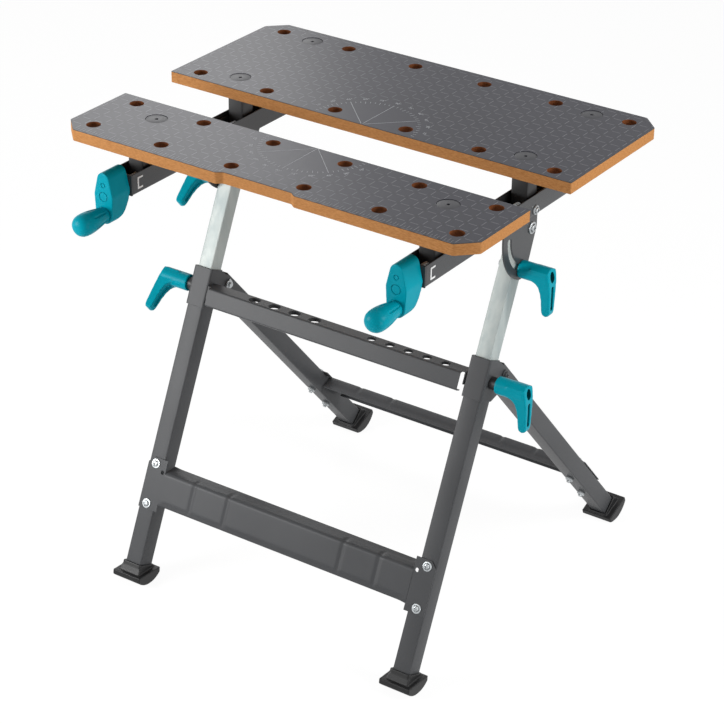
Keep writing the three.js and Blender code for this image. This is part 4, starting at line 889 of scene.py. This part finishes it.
for jaw, outwards, body in jaws:
    ink = bmesh.new()
    dial = jaw_edges[jaw], outwards
    for angle in (45, 90, 135):
        stroke(ink, on_dial(*dial, angle, dial_hub), on_dial(*dial, angle, dial_radius), ray_line)
    for angle in [angle for angle in range(5, 180, 5) if angle % 45]:
        inner = dial_radius - (dial_long_tick if angle % 15 == 0 else dial_short_tick)
        stroke(ink, on_dial(*dial, angle, inner), on_dial(*dial, angle, dial_radius), dial_line)
    for angle in range(15, 180, 15):
        x, y = on_dial(*dial, angle, dial_radius + figure_gap)
        figure(ink, f"{min(angle, 180 - angle)}°", at((x, y, film_top), outwards * radians(angle - 90)))
    if jaw == "front":
        for tick in rule_ticks:
            x, length = tick * rule_pitch, rule_long_tick if tick % 2 == 0 else rule_short_tick
            stroke(ink, (x, rule_edge), (x, rule_edge + length), rule_line)
    face_outwards(ink)
    for face in ink.faces:
        # Faces of the rule take the darker ink: painted shade.
        face.material_index = 1 if face.calc_center_median().y < rule_edge + 10 * MM else 0
        if face.normal.z < 0:
            face.normal_flip()
    bmesh.ops.solidify(ink, geom=ink.faces[:], thickness=film_depth)
    add_piece(f"{jaw}_jaw_print", ink, [pale_ink, shaded_rule_ink], body, "board")

# Jaw screws: flush dark caps over the screws that hold the jaws on their carriers.
# Each sits a little under the board's face and has a small centre hole.
dark_cap = finish("dark_cap", "#38383c", "#404045", 0.42, grain=900, bump=0.15, drift=50, specular=0.3)
cap_shape = [
    (0, -3), (2.2, -3), (2.2, -0.8), (2.6, -0.45), (14.3, -0.45), (14.8, -0.6), (15, -1.1), (15, -3), (4, -3),
    (4, -34.5), (0, -34.5),
]


def in_mm(pairs):
    """Pairs of millimetres, in metres"""
    return [(first * MM, second * MM) for first, second in pairs]


for hand, side in sides:
    for name, jaw, inset, body in (
        ("front_jaw_{}_{}", "front", cap_seats["front"][0], "front_jaw"),
        ("rear_jaw_{}_front_{}", "rear", cap_seats["rear"][0], "table"),
        ("rear_jaw_{}_rear_{}", "rear", cap_seats["rear"][1], "table"),
    ):
        seat = at((side * leg_spread, jaw_edges[jaw] + inset, board_top))
        cap = placed(turned(in_mm(cap_shape), steps=48), seat)
        add_piece(name.format("cap", hand), cap, dark_cap, body, "zinc_steel", name.format("screw", hand))

# Cranks: moulded teal arms, egg-shaped, pressed on the spindles' front ends.
# They are narrow at the head; the front face carries two shallow turning rings.
teal = finish("teal_plastic", "#008b9c", "#0092a4", 0.32, grain=800, bump=0.05, drift=25, specular=0.06)
crank_rounds = in_mm([(10, 17.5), (15.5, -6), (14, -32)])
crank_rings = in_mm([(3.2, 10), (6.5, -6.5)])
ring_half, ring_depth = 0.5 * MM, 1 * MM
crank_back = in_mm([
    (6, -2), (0, -4), (-0.6, -11), (-2.2, -18), (-5, -25), (-9, -32), (-14, -38), (-21, -43.5), (-30, -47),
    (-30, -60), (6, -60),
])
crank_back_half = 30 * MM
for hand, side in sides:
    low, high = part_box(f"crank_arm_{hand}")
    bearing_low, bearing_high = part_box(f"front_bearing_{hand}")
    x, axis = side * leg_spread, (bearing_low.z + bearing_high.z) / 2
    arm = bmesh.new()
    for y in (low.y, high.y):
        for radius, rise in crank_rounds:
            place = at((x, y, axis + rise), pi / 2, "X")
            bmesh.ops.create_circle(arm, cap_ends=False, segments=56, radius=radius, matrix=place)
    arm_points = set(arm.verts)
    hull = bmesh.ops.convex_hull(arm, input=arm.verts[:])
    spare = set(hull["geom_interior"] + hull["geom_unused"])
    bmesh.ops.delete(arm, geom=[item for item in spare if item in arm_points], context="VERTS")
    bmesh.ops.dissolve_limit(arm, angle_limit=radians(0.5), verts=arm.verts[:], edges=arm.edges[:])
    face_outwards(arm)
    hollow = drawn_out(
        [(x - crank_back_half, high.y + y, axis + z) for y, z in crank_back], (2 * crank_back_half, 0, 0),
    )
    melted(carved(arm, hollow), voxel=0.6 * MM, rounds=14)
    rings = []
    for radius, rise in crank_rings:
        groove = ring(radius - ring_half, radius + ring_half, -ring_depth, ring_depth)
        rings.append(placed(groove, at((x, low.y, axis + rise), pi / 2, "X")))
    carved(arm, *rings)
    add_piece(f"crank_{hand}", arm, teal, f"crank_{hand_words[hand]}", "teal_plastic", f"crank_arm_{hand}")
    frame["nodes"][f"knob_pin_{hand}"].material_slots[0].material = zinc_plate

# Crank knobs: teal grips that spin on pins in the cranks' lower ends.
# They swell from a neck to a round nose, with six flutes for the fingers.
knob_shape = in_mm([
    (0, 0), (5.5, 0.5), (9.5, 2.1), (12.5, 4.8), (14.5, 8.6), (15.3, 13), (15.5, 19), (15.1, 26), (14.3, 33),
    (13.1, 40), (12, 46), (11.4, 50), (11.2, 54.4), (10.8, 55.2), (0, 55.3),
])
flute_shape = in_mm([(0, -15), (1.5, -14.5), (2.4, -12.5), (2.4, 12.5), (1.5, 14.5), (0, 15)])
flute_place = at((14.4 * MM, 0, 38 * MM), radians(-9), "Y")
flute_turns = [Matrix.Rotation(radians(60 * step + 20), 4, "Z") for step in range(6)]
for hand, side in sides:
    low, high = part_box(f"crank_knob_{hand}")
    flutes = placed(turned(flute_shape, steps=20), *[turn @ flute_place for turn in flute_turns])
    knob = carved(turned(knob_shape, steps=48), flutes)
    pin = at((side * leg_spread, low.y, (low.z + high.z) / 2), -pi / 2, "X")
    body = f"knob_{hand_words[hand]}"
    add_piece(f"crank_grip_{hand}", placed(knob, pin), teal, body, "teal_plastic", f"crank_knob_{hand}")

# Clamp levers: teal mouldings with a round hub on the clamp bolt and a curved arm.
# The outer end has an oval recess and a long slot, whose walls are painted a darker teal as painted shade,
# and the arm a groove along its inner side.
# The right ones hang down, the left ones are swung forward.
# A darker copy of the teal for the recess walls: painted shade.
shaded_recess_teal = finish(
    "shaded_recess_teal_plastic", "#004a54", "#00525c", 0.4, grain=800, bump=0.05, drift=25, specular=0.06,
)
lever_hub, lever_length, lever_width = 12.5 * MM, 46 * MM, 14 * MM
lever_thin_end, lever_taper = -46 * MM, 0.085
lever_arm = in_mm([
    (19, 9), (20, -8.5), (27, -11.5), (31.5, -16.5), (34, -24), (35.6, -34), (36.4, -51), (38, -55.5),
    (42.7, -57.3), (47.4, -55.5), (49, -51), (49.4, -36), (49.4, -20), (48.6, -4), (46.5, 9),
])
lever_groove = in_mm([
    (24, -14.5), (28.5, -19), (31, -27), (32.5, -36), (33, -50), (39.4, -50), (38.8, -35), (37.2, -25),
    (34.4, -17.5), (30, -12.5),
])
groove_width = 6.8 * MM
oval_place = at((46.5 * MM, 0, 0.5 * MM), pi / 2, "Y")
oval_stretch = Matrix.Diagonal((1.55, 1, 1, 1))
slot_place, slot_radius = at((50.5 * MM, 0, -30.5 * MM)), 2.7 * MM
# The walls of both recesses, which take the darker teal of painted shade, in millimetres.
oval_floor, slot_floor, recess_mouth = 38, 42, 48.5
oval_half_width, oval_half_height, oval_middle = 5.1, 7.9, 0.5
slot_half_width, slot_bottom, slot_top = 2.8, -48, -13
lever_seats = (("tilt", sector_face), ("height", collar_face + spacer_length + 0.3 * MM))
left_swing = radians(-50)


def lever_shape():
    """A lever with its hub along X from zero and its arm down along Z, melted into one form"""
    hub = bar(lever_hub, lever_length, 48, at((lever_length / 2, 0, 0), pi / 2, "Y"))
    arm = drawn_out([(x, -lever_width / 2, z) for x, z in lever_arm], (0, lever_width, 0))
    for vert in arm.verts:
        half = lever_width / 2 + max(vert.co.z - lever_thin_end, 0) * lever_taper
        vert.co.y = copysign(half, vert.co.y)
    lever = melted(joined(hub, arm), voxel=0.9 * MM, rounds=12)
    oval = placed(rod(5 * MM, -7 * MM, 8 * MM), oval_place @ oval_stretch)
    slot = box(16 * MM, 5.6 * MM, 35 * MM, slot_place)
    slot_rims = [e for e in slot.edges if abs(e.verts[0].co.x - e.verts[1].co.x) > MM]
    rounded(slot, slot_rims, slot_radius, segments=5)
    groove = drawn_out([(x, -groove_width / 2, z) for x, z in lever_groove], (0, groove_width, 0))
    melted(carved(lever, oval, slot, groove), voxel=0.55 * MM, rounds=4)
    # Faces on the recess walls take the darker teal: painted shade.
    for face in lever.faces:
        x, y, z = face.calc_center_median() / MM
        off_oval = (y / oval_half_width) ** 2 + ((z - oval_middle) / oval_half_height) ** 2
        in_oval = x > oval_floor and off_oval < 1
        in_slot = x > slot_floor and abs(y) < slot_half_width and slot_bottom < z < slot_top
        face.material_index = 1 if x < recess_mouth and (in_oval or in_slot) else 0
    return lever


lever_form = lever_shape()
for lever, seat in lever_seats:
    for hand, side in sides:
        word = hand_words[hand]
        pivot = Vector(joints[f"{lever}_lever_turn_{word}"]["pos_m"])
        place = at((side * seat, pivot.y, pivot.z))
        if hand == "L":
            place = place @ Matrix.Rotation(left_swing, 4, "X") @ Matrix.Diagonal((-1, 1, 1, 1))
        handle = placed(lever_form.copy(), place)
        body, node = f"{lever}_lever_{word}", f"{lever}_lever_{hand}"
        add_piece(f"{lever}_handle_{word}", handle, [teal, shaded_recess_teal], body, "teal_plastic", node)

# Floor and light: a plain white floor and sky, with soft lamps at the front left, the rear left
# and twice at the right. The floor shows white to the camera and in reflections, and keeps a faint
# shadow.
floor_half, floor_glow, floor_glow_share, sky_light = 15, 1.06, 0.88, 0.3
floor_mesh = bmesh.new()
bmesh.ops.create_grid(floor_mesh, x_segments=1, y_segments=1, size=floor_half)
floor = bpy.data.objects.new("floor", bpy.data.meshes.new("floor"))
floor_mesh.to_mesh(floor.data)
floor_mesh.free()
bpy.context.scene.collection.objects.link(floor)


def seen(tree):
    """One where the camera sees a surface, directly or in metal, and nought where it only gives light"""
    ray, calc = add_node(tree.nodes, "LightPath"), calculator(tree)
    mirrored = calc("MAXIMUM", ray.outputs["Is Glossy Ray"], ray.outputs["Is Transmission Ray"])
    return calc("MAXIMUM", ray.outputs["Is Camera Ray"], mirrored)


floor_paint = bpy.data.materials.new("floor_paint")
floor_paint.use_nodes = True
floor.data.materials.append(floor_paint)
nodes, links = floor_paint.node_tree.nodes, floor_paint.node_tree.links
calc = calculator(floor_paint.node_tree)
matt = nodes["Principled BSDF"]
matt.inputs["Base Color"].default_value = (0.85, 0.85, 0.85, 1)
matt.inputs["Roughness"].default_value = 0.9
matt.inputs["Specular IOR Level"].default_value = 0.0
glow = add_node(nodes, "Emission", {"Strength": floor_glow})
share = nodes.new("ShaderNodeMixShader")
links.new(calc("MULTIPLY", seen(floor_paint.node_tree), floor_glow_share), share.inputs["Fac"])
links.new(matt.outputs["BSDF"], share.inputs[1])
links.new(glow.outputs["Emission"], share.inputs[2])
links.new(share.outputs["Shader"], nodes["Material Output"].inputs["Surface"])

sky = bpy.data.worlds.new("studio")
sky.use_nodes = True
bpy.context.scene.world = sky
calc, background = calculator(sky.node_tree), sky.node_tree.nodes["Background"]
background.inputs["Color"].default_value = (1, 1, 1, 1)
strength = calc("ADD", calc("MULTIPLY", seen(sky.node_tree), 1 - sky_light), sky_light)
sky.node_tree.links.new(strength, background.inputs["Strength"])

for name, place, aim, width, power in (
    ("key_lamp", (-1.1, -1.4, 0.78), (-0.1, -0.1, 0.4), 0.7, 26),
    ("right_lamp", (1.6, 0.35, 1.25), (0.25, 0, 0.6), 0.6, 17),
    ("rear_left_lamp", (-1.75, 1.6, 1.75), (-0.2, 0, 0.7), 0.9, 8.5),
    ("low_right_lamp", (3, -0.9, 0.6), (0, -0.1, 0.5), 1.2, 24),
):
    lamp = bpy.data.objects.new(name, bpy.data.lights.new(name, "AREA"))
    lamp.data.size = width
    lamp.data.energy = power
    turn = (Vector(aim) - Vector(place)).to_track_quat("-Z", "Y").to_matrix().to_4x4()
    lamp.matrix_world = Matrix.Translation(place) @ turn
    bpy.context.scene.collection.objects.link(lamp)
bpy.context.scene.view_settings.view_transform = "Standard"
